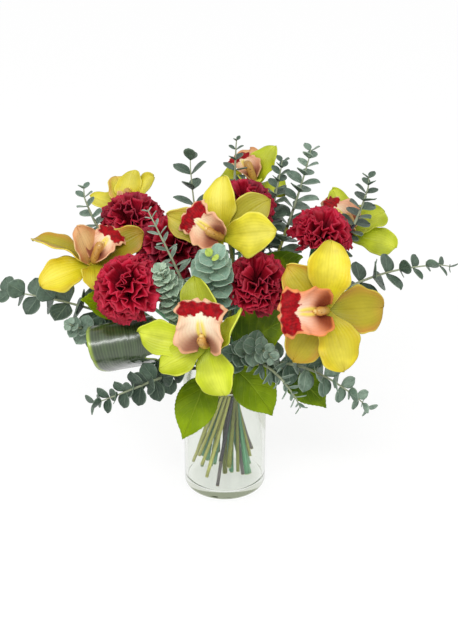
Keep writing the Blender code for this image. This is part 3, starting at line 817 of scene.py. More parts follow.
# %% [markdown]
# ### Tepals
# A cymbidium tepal is thick and waxy. Its middle is painted paler, a painted glow that stands in
# for light in the wax. The sepals behind are duller and more olive, and the golden blooms have a
# pink-orange edge. Fine parallel veins run from the base to the tip.

# %% Tepal finishes
def tepal_finish(name, bright, dull, edge, blush, base):
    """The mark shade mixes bright and dull. The mark blush lets the blush in from the edge."""
    n = new_material(name)
    veins = veins_on(n, 13.0, 0.0, 0.42)
    shade = n.mark("shade")
    body = n.mix(shade, bright, dull)
    body = n.mix(n.times(n.fall(veins["Along"], 0.02, 0.45), 0.75), body, base)
    # Painted glow: the middle of each tepal is lightened to the pale edge colour, for light in the
    # wax.
    glow = n.times(n.fall(veins["Edge"], 0.15, 0.85), n.ramp(veins["Along"], 0.25, 0.65))
    # the painted glow is weaker on the duller tepals
    fresh = n.minus(0.65, n.times(shade, 0.65))
    body = n.mix(n.times(glow, fresh), body, edge)
    tip = n.times(n.ramp(veins["Along"], 0.70, 1.0), 0.6)
    warm = n.larger(n.ramp(veins["Edge"], 0.45, 1.0), tip)
    body = n.mix(n.times(warm, n.mark("blush")), body, blush)
    body = n.mix(n.times(n.ramp(veins["Edge"], 0.90, 1.0), 0.8), body, edge)
    body = n.mix(n.times(veins["Veins"], 0.08), body, base, "MULTIPLY")
    spots = mottled(n, body, dull, 36.0, 0.42)
    height = n.plus(n.times(veins["Veins"], -0.5), spots["Height"])
    return n.finish(spots["Color"], height, 0.00022, 0.38, Specular_IOR_Level=0.28)


LIME = tepal_finish("lime_tepal", "CCDA24", "848E14", "ECF25C", "D9C24A", "84981A")
GOLD = tepal_finish("golden_tepal", "ECDC20", "96881A", "F8EC5E", "D28240", "8C9420")
YELLOW = tepal_finish("yellow_tepal", "E4D834", "928C20", "F6EC6C", "D8985A", "98A024")
BLUSHED = tepal_finish("blushed_tepal", "ECC07E", "C48A54", "F4D49A", "DC9468", "B8A040")
print("tepal finishes: lime, golden, yellow, blushed")

# %% [markdown]
# ### Lips
# The lip is the bloom's landing place: a cream or salmon trough with two yellow ridges, and a front
# lobe with a blood-red patch inside a wavy peach border. The patch is laid out on the blade's own
# UV square, so it follows the lip wherever it bends. The column above the trough is waxy. At the
# foot of the trough, in the hollow round the column, the lip is darkened with painted shade.

# %% Lip finishes
def lip_finish(name, throat, flush, border, patch_start, depth):
    """The mark shade is 1 on the wavy border, and the mark blush is 1 on the two ridges. The depth
    sets how dark the painted shade is at the lip's foot, in the hollow round the column.
    """
    n = new_material(name)
    veins = veins_on(n, 16.0, 1.5, 0.40)
    noise = n.noise(260.0, 3.0)
    along = n.plus(veins["Along"], n.times(n.minus(noise, 0.5), 0.16))
    start = n.minus(along, n.times(n.fall(veins["Edge"], 0.0, 0.30), 0.08))
    patch = n.ramp(start, patch_start, patch_start + 0.035)
    body = n.mix(n.ramp(along, 0.10, 0.55), flush, throat)
    body = n.mix(n.times(n.ramp(veins["Edge"], 0.18, 0.80), 0.75), body, flush)
    body = n.mix(n.times(veins["Veins"], n.times(noise, 0.22)), body, "D98A86")
    body = n.mix(n.times(n.mark("blush"), n.minus(1.0, patch)), body, "F2DE5C")
    # Painted shade: the foot of the lip, in the hollow round the column, is darkened to
    # maroon-brown.
    body = n.mix(n.times(n.fall(veins["Along"], 0.15, 0.38), depth), body, "701E10")
    red = n.mix(n.ramp(noise, 0.35, 0.65), "7C0008", "AA0010")
    body = n.mix(n.times(patch, n.minus(1.0, n.mark("shade"))), body, red)
    body = n.mix(n.times(n.mark("shade"), 0.9), body, border)
    height = n.plus(noise, n.times(veins["Veins"], 0.4))
    return n.finish(body, height, 0.0004, 0.52, Specular_IOR_Level=0.16)


def column_finish(name, top, speckle):
    """Waxy and warm. The mark shade brings out the maroon speckles."""
    n = new_material(name)
    noise = n.noise(420.0, 2.0)
    level = n.plus(noise, n.times(n.mark("shade"), 0.20))
    body = n.mix(n.ramp(level, 0.64, 0.80), top, speckle)
    return n.finish(body, noise, 0.0002, 0.38, Coat_Weight=0.2)


CREAM_LIP = lip_finish("cream_lip", "FCF2D4", "F0BE9A", "F0B68C", 0.66, 0.70)
SALMON_LIP = lip_finish("salmon_lip", "FBD6BC", "E48450", "EC9450", 0.58, 0.80)
PEACH_LIP = lip_finish("peach_lip", "FBE4C0", "E6A07C", "F2BE90", 0.58, 0.70)
COLUMN = column_finish("waxy_column", "C8984A", "742612")
ANTHER = column_finish("anther_cap", "E4C478", "A86638")
print("lip finishes: cream, salmon, peach")

# %% [markdown]
# ### Carnation petals, leaves and stems
# Carnation petals are matt and velvety. Painted shade makes them near black towards their feet,
# deep in the head, and a painted highlight makes them bright along the torn edges.
# Eucalyptus is grey-green under a dusty wax. The oval leaves are a warm olive with a net of veins,
# and the strap leaf is dark and glossy with straight veins.

# %% Petal and leaf finishes
def petal_finish():
    """Crimson, with painted shade darkening the foot of each petal, deep in the head, and a pinker
    painted highlight along its torn edge.
    """
    n = new_material("crimson_petal")
    veins = veins_on(n, 8.0, 0.0, 0.45)
    shade = n.mark("shade")
    body = n.mix(shade, "D00C38", "A00824")
    # Painted shade: marks above 0.9, mostly on heads set back in the bouquet, turn near black
    # crimson.
    body = n.mix(n.ramp(shade, 0.9, 1.3), body, "6C0820")
    # Painted shade: the foot of each petal, deep in the head, is darkened.
    body = n.mix(n.ramp(veins["Along"], 0.45, 0.95), "740A1E", body)
    # Painted highlight: the torn edge of each petal is lightened to pink-red.
    body = n.mix(n.times(n.ramp(veins["Along"], 0.90, 1.0), 0.35), body, "DE3E60")
    spots = mottled(n, body, "90041A", 90.0, 0.6)
    height = n.plus(n.times(veins["Veins"], 0.5), spots["Height"])
    return n.finish(spots["Color"], height, 0.0004, 0.55, Specular_IOR_Level=0.35)


def round_leaf_finish(name, fresh, dusty, vein, rough):
    """The mark shade picks each leaf's own tone between fresh and dusty."""
    n = new_material(name)
    veins = veins_on(n, 5.0, 3.5, 0.16)
    spots = mottled(n, n.mix(n.mark("shade"), fresh, dusty), fresh, 160.0, 0.45)
    line = n.larger(n.times(veins["Veins"], 0.22), veins["Midrib"])
    body = n.mix(n.times(line, 0.55), spots["Color"], vein)
    body = n.mix(n.times(n.ramp(veins["Edge"], 0.86, 1.0), 0.4), body, vein)
    height = n.minus(spots["Height"], n.times(line, 1.5))
    return n.finish(body, height, 0.0003, rough)


def oval_leaf_finish():
    """Olive green with a pale midrib, side veins and a fine net between them."""
    n = new_material("olive_oval_leaf")
    veins = veins_on(n, 5.0, 7.0, 0.12)
    # the blade is darker towards its foot and lighter towards its tip
    fold = n.times(n.ramp(veins["Along"], 0.0, 0.9), 0.60)
    level = n.minus(n.plus(n.mark("shade"), 0.45), fold)
    body = n.mix(n.calc("MINIMUM", level, 1.0), "86A204", "3C5C08")
    spots = mottled(n, body, "9CB60E", 50.0, 0.45)
    inputs = {"Vector": n.places(), "Scale": 420.0}
    net = n.add("TexVoronoi", inputs, feature="DISTANCE_TO_EDGE").outputs[0]
    line = n.larger(n.times(veins["Veins"], 0.45), veins["Midrib"])
    line = n.larger(line, n.times(n.fall(net, 0.0, 0.12), 0.08))
    body = n.mix(n.times(line, 0.5), spots["Color"], "9CB430")
    height = n.minus(spots["Height"], n.times(line, 2.0))
    return n.finish(body, height, 0.0003, 0.42, Specular_IOR_Level=0.14)


def strap_leaf_finish():
    """Dark glossy green with close parallel veins and a yellow-green edge."""
    n = new_material("dark_strap_leaf")
    veins = veins_on(n, 26.0, 0.0, 0.36)
    broad = veins_on(n, 5.0, 0.0, 0.30)
    body = n.mix(n.times(broad["Veins"], 0.35), "2C3F1C", "465E32")
    body = n.mix(n.times(veins["Veins"], 0.3), body, "66784E")
    body = n.mix(n.ramp(veins["Edge"], 0.88, 0.96), body, "9CB438")
    spots = mottled(n, body, "2A3C1C", 45.0, 0.4)
    height = n.plus(veins["Veins"], spots["Height"])
    gloss = {"Coat_Weight": 1.0, "Coat_Roughness": 0.23, "Coat_IOR": 1.65}
    return n.finish(spots["Color"], height, 0.00005, 0.34, Specular_IOR_Level=0.2, **gloss)


def stem_finish(name, light, dark, end):
    """Streaks along the stem, and a pale cut end. The mark shade darkens a whole stem."""
    n = new_material(name)
    uv = n.along()
    stretch = n.add("Mapping", {"Vector": uv, "Scale": (9.0, 1.6, 1.0)}).outputs[0]
    streak = n.noise(2.2, 3.0, stretch)
    level = n.plus(streak, n.minus(n.mark("shade"), 0.5))
    body = n.mix(n.ramp(level, 0.32, 0.68), light, dark)
    along = n.add("SeparateXYZ", {0: uv}).outputs[1]
    body = n.mix(n.fall(along, 0.0, 0.004), body, end)
    return n.finish(body, streak, 0.0004, 0.48)


PETAL = petal_finish()
SILVER_LEAF = round_leaf_finish("silver_eucalyptus", "3E5A48", "9AB29E", "C2D0BE", 0.50)
GREEN_LEAF = round_leaf_finish("green_eucalyptus", "283A2E", "647C68", "94A890", 0.42)
MINT_LEAF = round_leaf_finish("mint_eucalyptus", "6E9080", "A4C4AA", "D2E2C8", 0.55)
PALE_MINT = round_leaf_finish("pale_mint", "86A68C", "B6CEB2", "E6F0DA", 0.55)
LIME_BUD = round_leaf_finish("lime_bud", "8CAC3C", "BED45A", "DCE890", 0.50)
OVAL_LEAF = oval_leaf_finish()
STRAP_LEAF = strap_leaf_finish()
GREEN_STEM = stem_finish("green_stem", "82C096", "468A60", "C8D8AA")
OLIVE_STEM = stem_finish("olive_stem", "C4C46A", "808838", "D0D0A0")
WOODY_STEM = stem_finish("woody_stem", "7A7274", "3A3840", "B0A080")
TWIG = stem_finish("pale_twig", "A9B494", "7C7458", "C0B894")
print("leaf, petal and stem finishes ready")

# %% [markdown]
# ## The glass cylinder
# The vase is a plain round glass with a heavy base and rounded edges. It starts as a circle of
# points that is extruded and resized ring by ring, up the outside, over the rim and down the
# inside. Glass shows its shape by how its walls bend the light, so both walls are modelled.

# %% Vase
VASE_SIDES = 96
VASE_RINGS = (
    (0.0385, 0.0006), (0.0415, 0.0000), (0.0440, 0.0006), (0.0460, 0.0022), (0.0470, 0.0050),
    (0.0470, 0.0700), (0.0470, 0.1385), (0.0466, 0.1395), (0.0457, 0.1400), (0.0445, 0.1400),
    (0.0437, 0.1394), (0.0435, 0.1385), (0.0435, 0.0700), (0.0435, 0.0155), (0.0428, 0.0120),
    (0.0405, 0.0098), (0.0360, 0.0091), (0.0180, 0.0090),
)
SHARP_ANGLE = math.radians(50)


def turned(name, rings, sides):
    """Extrude and resize a circle through rings of (radius, height), and close both ends."""
    bpy.ops.object.select_all(action="DESELECT")
    radius, height = rings[0]
    bpy.ops.mesh.primitive_circle_add(vertices=sides, radius=radius, fill_type="NGON")
    obj = bpy.context.object
    obj.name = obj.data.name = name
    bpy.ops.object.mode_set(mode="EDIT")
    bpy.ops.mesh.select_mode(type="VERT")
    bpy.ops.mesh.select_all(action="SELECT")
    bpy.ops.transform.translate(value=(0, 0, height))
    for wide, level in rings[1:]:
        bpy.ops.mesh.extrude_edges_move(TRANSFORM_OT_translate={"value": (0, 0, level - height)})
        share = wide / radius
        bpy.ops.transform.resize(value=(share, share, 1), center_override=(0, 0, level))
        radius, height = wide, level
    bpy.ops.mesh.edge_face_add()
    bpy.ops.mesh.select_all(action="SELECT")
    bpy.ops.mesh.normals_make_consistent(inside=False)
    bpy.ops.object.mode_set(mode="OBJECT")
    choose(obj)
    bpy.ops.object.shade_smooth_by_angle(angle=SHARP_ANGLE)
    return obj


def glass_finish():
    """Clear glass with a faint grey-green body. Shadow rays pass, so the stems inside are lit. Rays
    that have bounced about inside the wall come out grey, as they do at the edge of a glass."""
    n = new_material("clear_glass")
    bump = n.add("Bump", {"Height": n.noise(28.0, 1.0), "Distance": 0.0004, "Strength": 0.5})
    facing = n.add("LayerWeight", {"Blend": 0.30}).outputs["Facing"]
    shader = n.add("BsdfPrincipled", {
        "Base Color": n.mix(n.ramp(facing, 0.45, 1.0), "F8FAF6", "6A7670"),
        "Roughness": n.times(n.ramp(n.noise(60.0, 3.0), 0.5, 0.8), 0.03),
        "Normal": bump.outputs[0], "Transmission Weight": 1.0, "IOR": 1.38,
    })
    clear = n.add("BsdfTransparent", {"Color": (0.93, 0.95, 0.94, 1)})
    dim = n.add("BsdfTransparent", {"Color": "D6D9CE"})
    path = n.add("LightPath").outputs
    trapped = n.calc("GREATER_THAN", path["Ray Depth"], 3.5)
    wall = n.add("MixShader", {0: trapped, 1: shader.outputs[0], 2: dim.outputs[0]})
    return n.either("Material", path["Is Shadow Ray"], wall, clear)


vase = turned("glass_cylinder", VASE_RINGS, VASE_SIDES)
vase.data.materials.append(glass_finish())
place(vase, "clear_glass", "vase")

# %% [markdown]
# ## The twine
# The florist winds soft twine round the waist of the bundle. It is one strand that climbs a little
# each turn, with its two plies showing as slanting ridges. The strand is a tube along a helix.

# %% Twine
STRAND_RADIUS = 0.0010
STRAND_GAP = 0.0002
STRAND_SIDES = 8
PLY_STEPS = 72
PLY_RIDGES = 190.0
STEMS_PRESSED = 1.06
KNOT_TURN = math.radians(20)


def twine_finish():
    n = new_material("jute_twine")
    apart = n.add("SeparateXYZ", {0: n.along()}).outputs
    ply = n.away(n.calc("FRACT", n.plus(n.times(apart[1], PLY_RIDGES), apart[0])))
    fibre = n.noise(1500.0, 2.0)
    body = n.mix(n.ramp(ply, 0.05, 0.35), "6E5230", "B59566")
    body = n.mix(n.times(fibre, 0.5), body, "8E7044")
    return n.finish(body, n.plus(ply, n.times(fibre, 0.3)), 0.0006, 0.85)


def wind_twine():
    """One strand round the outer ring of stems, as many turns as its plain solid is tall."""
    low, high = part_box("twine")
    ring = math.hypot(RING_RADIUS[-1], RING_SLOPE[-1] * TIE_HEIGHT / 2)
    inner = ring + STEM_RADIUS * STEMS_PRESSED + GAP
    radius = inner + STRAND_GAP + STRAND_RADIUS
    rise = high.z - low.z - 2 * STRAND_RADIUS
    turns = int(rise / (2 * STRAND_RADIUS + STRAND_GAP))
    count = PLY_STEPS * turns
    path = []
    for k in range(count + 1):
        turn = KNOT_TURN + 2 * math.pi * turns * k / count
        height = low.z + STRAND_RADIUS + rise * k / count
        path.append(Vector((radius * math.cos(turn), radius * math.sin(turn), height)))
    gathered = Gathered()
    gathered.add_tube(path, [STRAND_RADIUS] * len(path), STRAND_SIDES)
    place(gathered.build("wound_twine", [twine_finish()]), "twine", "twine")
    print("twine:", turns, "turns,", round(lengths_along(path)[-1], 3), "m")


wind_twine()

# %% [markdown]
# ## Orchid tepals
# Five tepals stand round the bloom: a dorsal sepal, two lateral sepals behind, and two petals in
# front. Each is a sheet that starts narrow on the bloom's core, swells past its middle and ends in
# a small point. It is cupped like a spoon, has a shallow crease along its middle and a slightly
# waved edge.

# %% Tepal shape
TEPAL = sheet_pattern(22, 30)
TEPAL_OUTLINE = (
    (0.0, 0.30), (0.10, 0.42), (0.22, 0.60), (0.38, 0.86), (0.54, 1.0), (0.68, 0.97), (0.80, 0.80),
    (0.90, 0.52), (0.96, 0.27), (1.0, 0.03),
)
TEPAL_WALL = 0.0012
TEPAL_CUP = 0.34
TEPAL_CREASE = 0.0012
TEPAL_WAVE = 0.0025
TEPAL_UNEVEN = 0.095
TEPAL_SWAY = 0.035
TEPAL_HOOK = math.radians(-34)
BEND_STEPS = 100
# tepals that differ from the plan: turned round the bloom and leaned forward, in degrees; longer,
# as a share; bowed sideways, as a share of the length; twisted on their middle line, in degrees
UNCHANGED = (0, 0, 1.0, 0.0, 0)
TEPAL_CHANGES = {
    ("front", 0): (8, 0, 1.03, 0.0, 0),
    ("front", 3): (0, 0, 1.0, 0.02, 22),
    ("front", 4): (6, -8, 1.16, -0.15, -58),
    ("left", 0): (-14, 0, 1.05, 0.0, 0),
    ("left", 1): (0, 14, 1.24, 0.03, 15),
    ("left", 2): (20, 40, 1.10, 0.0, 0),
    ("left", 3): (0, 0, 1.08, 0.0, 35),
    ("back_right", 0): (12, 8, 1.0, 0.0, 14),
    ("back_right", 3): (0, 24, 1.06, 0.0, 0),
    ("back_top", 1): (-4, 20, 1.06, 0.0, 0),
    ("back_left", 1): (10, 25, 1.10, 0.0, 0),
    ("back_left", 3): (26, 20, 1.08, 0.0, 0),
    ("back_left", 4): (0, 10, 1.0, 0.0, 0),
}


def bent_line(bend, length, v):
    """How far a bent middle line runs along and rises, at each place v, for a rule of its angle."""
    fine = np.linspace(0, 1, BEND_STEPS + 1)
    angle = bend((fine[1:] + fine[:-1]) / 2)
    along = np.concatenate([[0], np.cumsum(np.cos(angle))]) * length / BEND_STEPS
    rise = np.concatenate([[0], np.cumsum(np.sin(angle))]) * length / BEND_STEPS
    return np.interp(v, fine, along), np.interp(v, fine, rise), bend(v)


def tepal_shape(start, way, normal, lean, length, width, bow, twist, seed):
    """A rule that bends the pattern into one tepal. The seed sets its own waves and sway."""
    side = np.array(normal.cross(way))
    way, normal, start = np.array(way), np.array(normal), np.array(start)
    cup = TEPAL_CUP * (1 + 0.35 * math.sin(seed * 1.9))
    sway = length * (bow + TEPAL_SWAY * math.sin(seed * 2.3))

    def bend(s):
        hook = TEPAL_HOOK * step(s, 0.84, 1.0)
        return math.radians(lean) + TEPAL_ARCH * (0.40 - s) + hook

    def shape(u, v):
        along, rise, angle = bent_line(bend, length, v)
        sides = np.sign(u)
        ripple = np.sin(v * 8.5 + seed * 1.7 + sides * 2.1) + 0.4 * np.sin(v * 21 + seed * 3.1)
        uneven = 1 + TEPAL_UNEVEN * np.abs(u) ** 3 * ripple
        half = through(TEPAL_OUTLINE, v) * width / 2 * uneven
        open_now = step(v, 0.05, 0.4)
        lift = cup * half * (u * u - 0.45 * u ** 4) * step(v, 0.0, 0.35)
        lift = lift - TEPAL_CREASE * np.exp(-(u / 0.10) ** 2) * open_now
        wave = np.sin(v * 7.5 + seed * 2.4 + sides * 1.6) + 0.45 * np.sin(v * 17 + seed + sides)
        lift = lift + TEPAL_WAVE * wave * np.abs(u) ** 2.4 * open_now
        up = np.outer(np.cos(angle), normal) - np.outer(np.sin(angle), way)
        turned = math.radians(twist) * step(v, 0.0, 0.55)
        across = np.outer(np.cos(turned), side) + up * np.sin(turned)[:, None]
        upward = up * np.cos(turned)[:, None] - np.outer(np.sin(turned), side)
        reach = u * half * (1 - 0.13 * cup * u * u)
        middle = start + np.outer(along, way) + np.outer(rise, normal)
        middle = middle + np.outer(sway * np.sin(math.pi * v), side)
        return middle + across * reach[:, None] + upward * lift[:, None]

    return shape


print("tepal pattern:", len(TEPAL[2]), "faces")

# %% Tepals of each bloom
# shade and blush of each tepal, in the order of the plan
TEPAL_TONES = {
    "front": (LIME, ((0.0, 0.0), (0.05, 0.0), (0.75, 0.1), (0.35, 0.0), (0.40, 0.0))),
    "right": (GOLD, ((0.80, 0.65), (0.65, 0.65), (0.70, 0.60), (0.0, 0.22), (0.0, 0.22))),
    "top": (YELLOW, ((0.80, 0.1), (0.0, 0.05), (0.15, 0.1), (0.65, 0.35), (0.0, 0.0))),
    "left": (GOLD, ((0.10, 0.25), (1.0, 0.60), (0.2, 1.0), (0.80, 0.6), (0.30, 0.2))),
    "back_right": (LIME, ((0.10, 0.1), (0.15, 0.0), (0.35, 0.2), (0.30, 0.0), (0.30, 0.1))),
    "back_top": (LIME, ((0.25, 0.0), (0.10, 0.0), (0.35, 0.2), (0.30, 1.0), (0.30, 0.1))),
    "back_left": (YELLOW, ((0.15, 0.1), (0.05, 0.1), (0.10, 0.0), (0.10, 0.1), (0.35, 0.8))),
}
TEPAL_LEVELS = (-0.0045, -0.0045, -0.0045, 0.0, 0.0)
TEPAL_FOOT = 0.4
ALL_PEACH = 0.8
CORE_BULGE = np.array([0.45, 0.75, 0.92, 1.0, 1.0, 0.85, 0.5]) * CORE_RADIUS
CORE_SIDES = 16


def make_tepals(name, orchid):
    """Five tepals and the core they grow from. A tepal that blushes strongly is peach all over."""
    normal, _ = bloom_axes(orchid.facing, 0)
    centre = Vector(orchid.centre)
    finish, tones = TEPAL_TONES[name]
    finishes = [finish, BLUSHED]
    gathered = Gathered()
    for number, (angle, lean, length, width) in enumerate(orchid.tepals):
        further, raised, longer, bow, twist = TEPAL_CHANGES.get((name, number), UNCHANGED)
        _, way = bloom_axes(orchid.facing, angle + further)
        start = centre + normal * TEPAL_LEVELS[number] + way * CORE_RADIUS * TEPAL_FOOT
        reach = length * longer - CORE_RADIUS * TEPAL_FOOT
        shade, blush = tones[number]
        seed = number + len(name)
        shape = tepal_shape(start, way, normal, lean + raised, reach, width, bow, twist, seed)
        gathered.add_sheet(TEPAL, shape, int(blush > ALL_PEACH), shade=shade, blush=blush)
    blades = gathered.build(f"{name}_orchid_tepals", finishes, TEPAL_WALL)
    core = Gathered()
    levels = np.linspace(CORE_BACK, CORE_FRONT, len(CORE_BULGE))
    path = [centre + normal * level for level in levels]
    core.add_tube(path, CORE_BULGE, CORE_SIDES, shade=0.4)
    hub = core.build("hub", finishes)
    place(joined(blades.name, blades, hub), "orchid_tepal", f"orchid_{name}_tepals")


for name, orchid in ORCHIDS.items():
    make_tepals(name, orchid)

# %% [markdown]
# ## Lips and columns
# The lip is a sheet too. Its cross-section is an arc: near its foot the arc closes up into two side
# lobes that stand round the column, and towards its tip it opens and rolls back into the wide front
# lobe with its ruffled border. Two ridges run down the trough. The column arches over it and ends
# in a pale cap.

# %% Lip shape
LIP = sheet_pattern(48, 48)
LIP_LONGER = 1.25
LIP_WIDER = 1.30
LIP_ANGLES = (
    (0.0, 60), (0.20, 50), (0.42, 38), (0.60, 26), (0.76, 10), (0.90, -16), (1.0, -52),
)
LIP_SPREAD = (
    (0.0, 0.34), (0.10, 0.62), (0.22, 0.98), (0.34, 1.14), (0.44, 1.12), (0.51, 0.96), (0.57, 0.80),
    (0.65, 0.84), (0.74, 0.92), (0.83, 0.92), (0.91, 0.82), (0.97, 0.64), (1.0, 0.42),
)
LIP_CLOSING = (
    (0.0, 76), (0.12, 84), (0.30, 80), (0.44, 68), (0.55, 42), (0.66, 12), (0.85, -24), (1.0, -40),
)
LIP_RAISED = 0.003
LOBE_REACH = 0.0055
LIP_WALL = 0.0011
# lips turned round the bloom, in degrees, and their size, as a share of the plan's
LIP_CHANGES = {
    "right": (0, 0.93), "top": (24, 0.92), "left": (-14, 0.80), "back_left": (0, 0.65),
    "back_top": (-6, 0.80),
}
KEEL_HEIGHT = 0.0022
KEEL_APART = 0.085
KEEL_WIDTH = 0.060
LIP_NOTCH = 0.045
LIP_RUFFLE = 0.0026
LIP_ROLL = 0.0028
FLATTEST = 0.02


def arc_section(u, half, closing):
    """A cross-section bent into an arc: sideways and upward, for a sheet half this wide."""
    closing = np.where(np.abs(closing) < FLATTEST, FLATTEST, closing)
    radius = half / closing
    return radius * np.sin(u * closing), radius * (1 - np.cos(u * closing))


def lip_border(u, v):
    """1 on the wavy border of the front lobe, 0 elsewhere."""
    sides = step(np.abs(u) + 0.02 * np.sin(v * 40), 0.84, 0.91) * step(v, 0.50, 0.62)
    front = step(v + 0.012 * np.sin(u * 14), 0.915, 0.945)
    back = step(np.abs(u), 0.86, 0.97) * (1 - step(v, 0.50, 0.62))
    return np.maximum(np.maximum(sides, front), back)


def keel_place(u, v):
    """1 on the two ridges in the trough, 0 elsewhere."""
    ridge = np.exp(-((np.abs(u) - KEEL_APART) / KEEL_WIDTH) ** 2)
    return ridge * step(v, 0.12, 0.22) * (1 - step(v, 0.54, 0.66))


def lip_shape(foot, way, normal, scale, seed):
    """A rule that bends the pattern into one lip."""
    side = np.array(normal.cross(way))
    start = np.array(foot + (normal + way) * LIP_RAISED)
    way, normal = np.array(way), np.array(normal)

    def shape(u, v):
        def bend(s):
            return np.radians(through(LIP_ANGLES, s))

        along, rise, angle = bent_line(bend, LIP_LENGTH * LIP_LONGER * scale, v)
        along = along - LOBE_REACH * scale * u * u * (1 - step(v, 0.15, 0.50))
        sides = step(np.abs(u), 0.45, 1.0) * (1 - step(v, 0.88, 1.0)) * step(v, 0.08, 0.5)
        front = step(v, 0.80, 1.0) * (1 - step(np.abs(u), 0.75, 1.0))
        notch = 1 + sides * LIP_NOTCH * np.sin(v * 37 + seed + np.sign(u))
        half = through(LIP_SPREAD, v) * LIP_WIDTH * LIP_WIDER * scale * 0.5 * notch
        across, lift = arc_section(u, half, np.radians(through(LIP_CLOSING, v)))
        ruffle = sides * np.sin(v * 33 + seed * 1.3 + 2 * np.sign(u))
        ruffle = ruffle + front * np.sin(u * 10 + seed)
        rolled = np.maximum(step(np.abs(u), 0.84, 1.0), step(v, 0.93, 1.0)) * step(v, 0.10, 0.4)
        lift = lift + scale * (LIP_RUFFLE * ruffle - LIP_ROLL * rolled)
        lift = lift + KEEL_HEIGHT * keel_place(u, v)
        up = np.outer(np.cos(angle), normal) - np.outer(np.sin(angle), way)
        middle = start + np.outer(along, way) + np.outer(rise, normal)
        return middle + np.outer(across, side) + up * lift[:, None]

    return shape


print("lip pattern:", len(LIP[2]), "faces")

# %% Column shape
# height over the bloom, lean along the lip, and radius of each ring of the column
COLUMN_RINGS = (
    (0.0, 0.0, 0.0050), (0.003, 0.0, 0.0050), (0.007, 0.0004, 0.0045), (0.012, 0.0018, 0.0042),
    (0.016, 0.0040, 0.0045), (0.019, 0.0066, 0.0048), (0.0208, 0.0090, 0.0040),
    (0.0214, 0.0104, 0.0022),
)
COLUMN_SIDES = 18
ANTHER_RADIUS = 0.0026
ANTHER_PLACE = (0.0196, 0.0110)
ANTHER_WAY = (0.75, 0.66)
ANTHER_TIP = 0.12
ANTHER_SIDES = 14


def make_lip(name, orchid, finish):
    """The lip, the column that arches over it and the pale cap at the column's end."""
    further, size = LIP_CHANGES.get(name, (0, 1.0))
    normal, way = bloom_axes(orchid.facing, orchid.lip + further)
    foot = Vector(orchid.centre) + normal * (CORE_FRONT + GAP)
    finishes = [finish, COLUMN, ANTHER]
    u, v, _ = LIP
    gathered = Gathered()
    shape = lip_shape(foot, way, normal, orchid.lip_scale * size, len(name))
    gathered.add_sheet(LIP, shape, shade=lip_border(u, v), blush=keel_place(u, v))
    sheet = gathered.build(f"{name}_orchid_lip", finishes, LIP_WALL)
    solid = Gathered()
    path = [foot + normal * height + way * lean for height, lean, _ in COLUMN_RINGS]
    radii = [radius for _, _, radius in COLUMN_RINGS]
    solid.add_tube(path, radii, COLUMN_SIDES, 1, shade=0.35)
    tip = foot + normal * ANTHER_PLACE[0] + way * ANTHER_PLACE[1]
    lean = normal * ANTHER_WAY[0] + way * ANTHER_WAY[1]
    steps = np.linspace(-1, 1, 9)
    cap = [tip + lean * ANTHER_RADIUS * k for k in steps]
    rounds = [ANTHER_RADIUS * max(ANTHER_TIP, math.sqrt(1 - k * k)) for k in steps]
    solid.add_tube(cap, rounds, ANTHER_SIDES, 2)
    column = solid.build("column", finishes)
    place(joined(sheet.name, sheet, column), "orchid_lip", f"orchid_{name}_lip")


LIP_FINISHES = {"front": CREAM_LIP, "right": SALMON_LIP}
for name, orchid in ORCHIDS.items():
    make_lip(name, orchid, LIP_FINISHES.get(name, PEACH_LIP))

# %% [markdown]
# ## Orchid stems
# Orchid stems are the thickest in the bundle. Below the tie, where they have room, they are a
# little thicker than at the waist, and they run straight into the back of the bloom.

# %% Orchid stems
FOOT_THICKER = 1.42
THICKER_FROM = WAIST - 0.02
THICKER_OVER = 0.05
TUBE_STEP = 2
ORCHID_STEM_SIDES = 12


def thinned(path, end=None):
    """The path as a tube needs it: every point below the waist, and every second one above it."""
    low = LOW_STEPS + 1
    return path[:low] + path[low:end:TUBE_STEP]


def stem_radii(path):
    """The stem's radius at each point: full at the waist, thicker towards the cut end."""
    shares = [min(1.0, max(0.0, (THICKER_FROM - point.z) / THICKER_OVER)) for point in path]
    return [STEM_RADIUS * (1 + (FOOT_THICKER - 1) * share) for share in shares]


def make_orchid_stem(name, orchid, shade):
    normal, _ = bloom_axes(orchid.facing, 0)
    path = thinned(PATHS["orchid_" + name])
    path.append(path[-1] + normal * STEM_NECK)
    gathered = Gathered()
    gathered.add_tube(path, stem_radii(path), ORCHID_STEM_SIDES, shade=shade)
    obj = gathered.build(f"{name}_orchid_stem", [GREEN_STEM if shade < 0.6 else OLIVE_STEM])
    place(obj, "green_stem", f"orchid_{name}_stem")


for number, (name, orchid) in enumerate(ORCHIDS.items()):
    make_orchid_stem(name, orchid, (number * 3 % len(ORCHIDS)) / len(ORCHIDS))

# %% [markdown]
# ## Carnations
# A carnation is a crowd of fan-shaped petals with torn, crimped edges. Their feet meet in the green
# cup, and their edges crowd into a dome. The petals are set by the golden angle, from the middle of
# the dome to its rim, and each is folded by its own waves, so that the surface looks crumpled and
# not combed.

# %% Carnation petals
FAN = sheet_pattern(20, 9)
PETALS = 58
CARNATION_SEED = 40
GOLDEN_TURN = math.radians(137.508)
HEAD_DEPTH = 0.0405
HEAD_RADIUS = 0.0315
HEAD_SPREAD = math.radians(98)
DOME_MIDDLE = 0.0135
DOME_FLATTER = 0.10
PETAL_WALL = 0.00045
PETAL_WIDTH = 0.0295
PETAL_FOLD = 0.0036
PETAL_FLARE = 0.0075
TOOTH = 0.0014
TEETH = 21
TORN_FROM = 0.97
FOOT_HEIGHT = 0.006
FOOT_APART = 0.003
HEAD_LARGER = {"upper_left": 1.16, "back_left": 1.06, "left": 1.08}
# painted shade of each head: heads set back in the bouquet are darkened as if in shade, centre a
# little
HEAD_PAINTED_SHADE = {"upper_left": 0.65, "back_left": 0.55, "back_top": 0.65, "centre": 0.25}


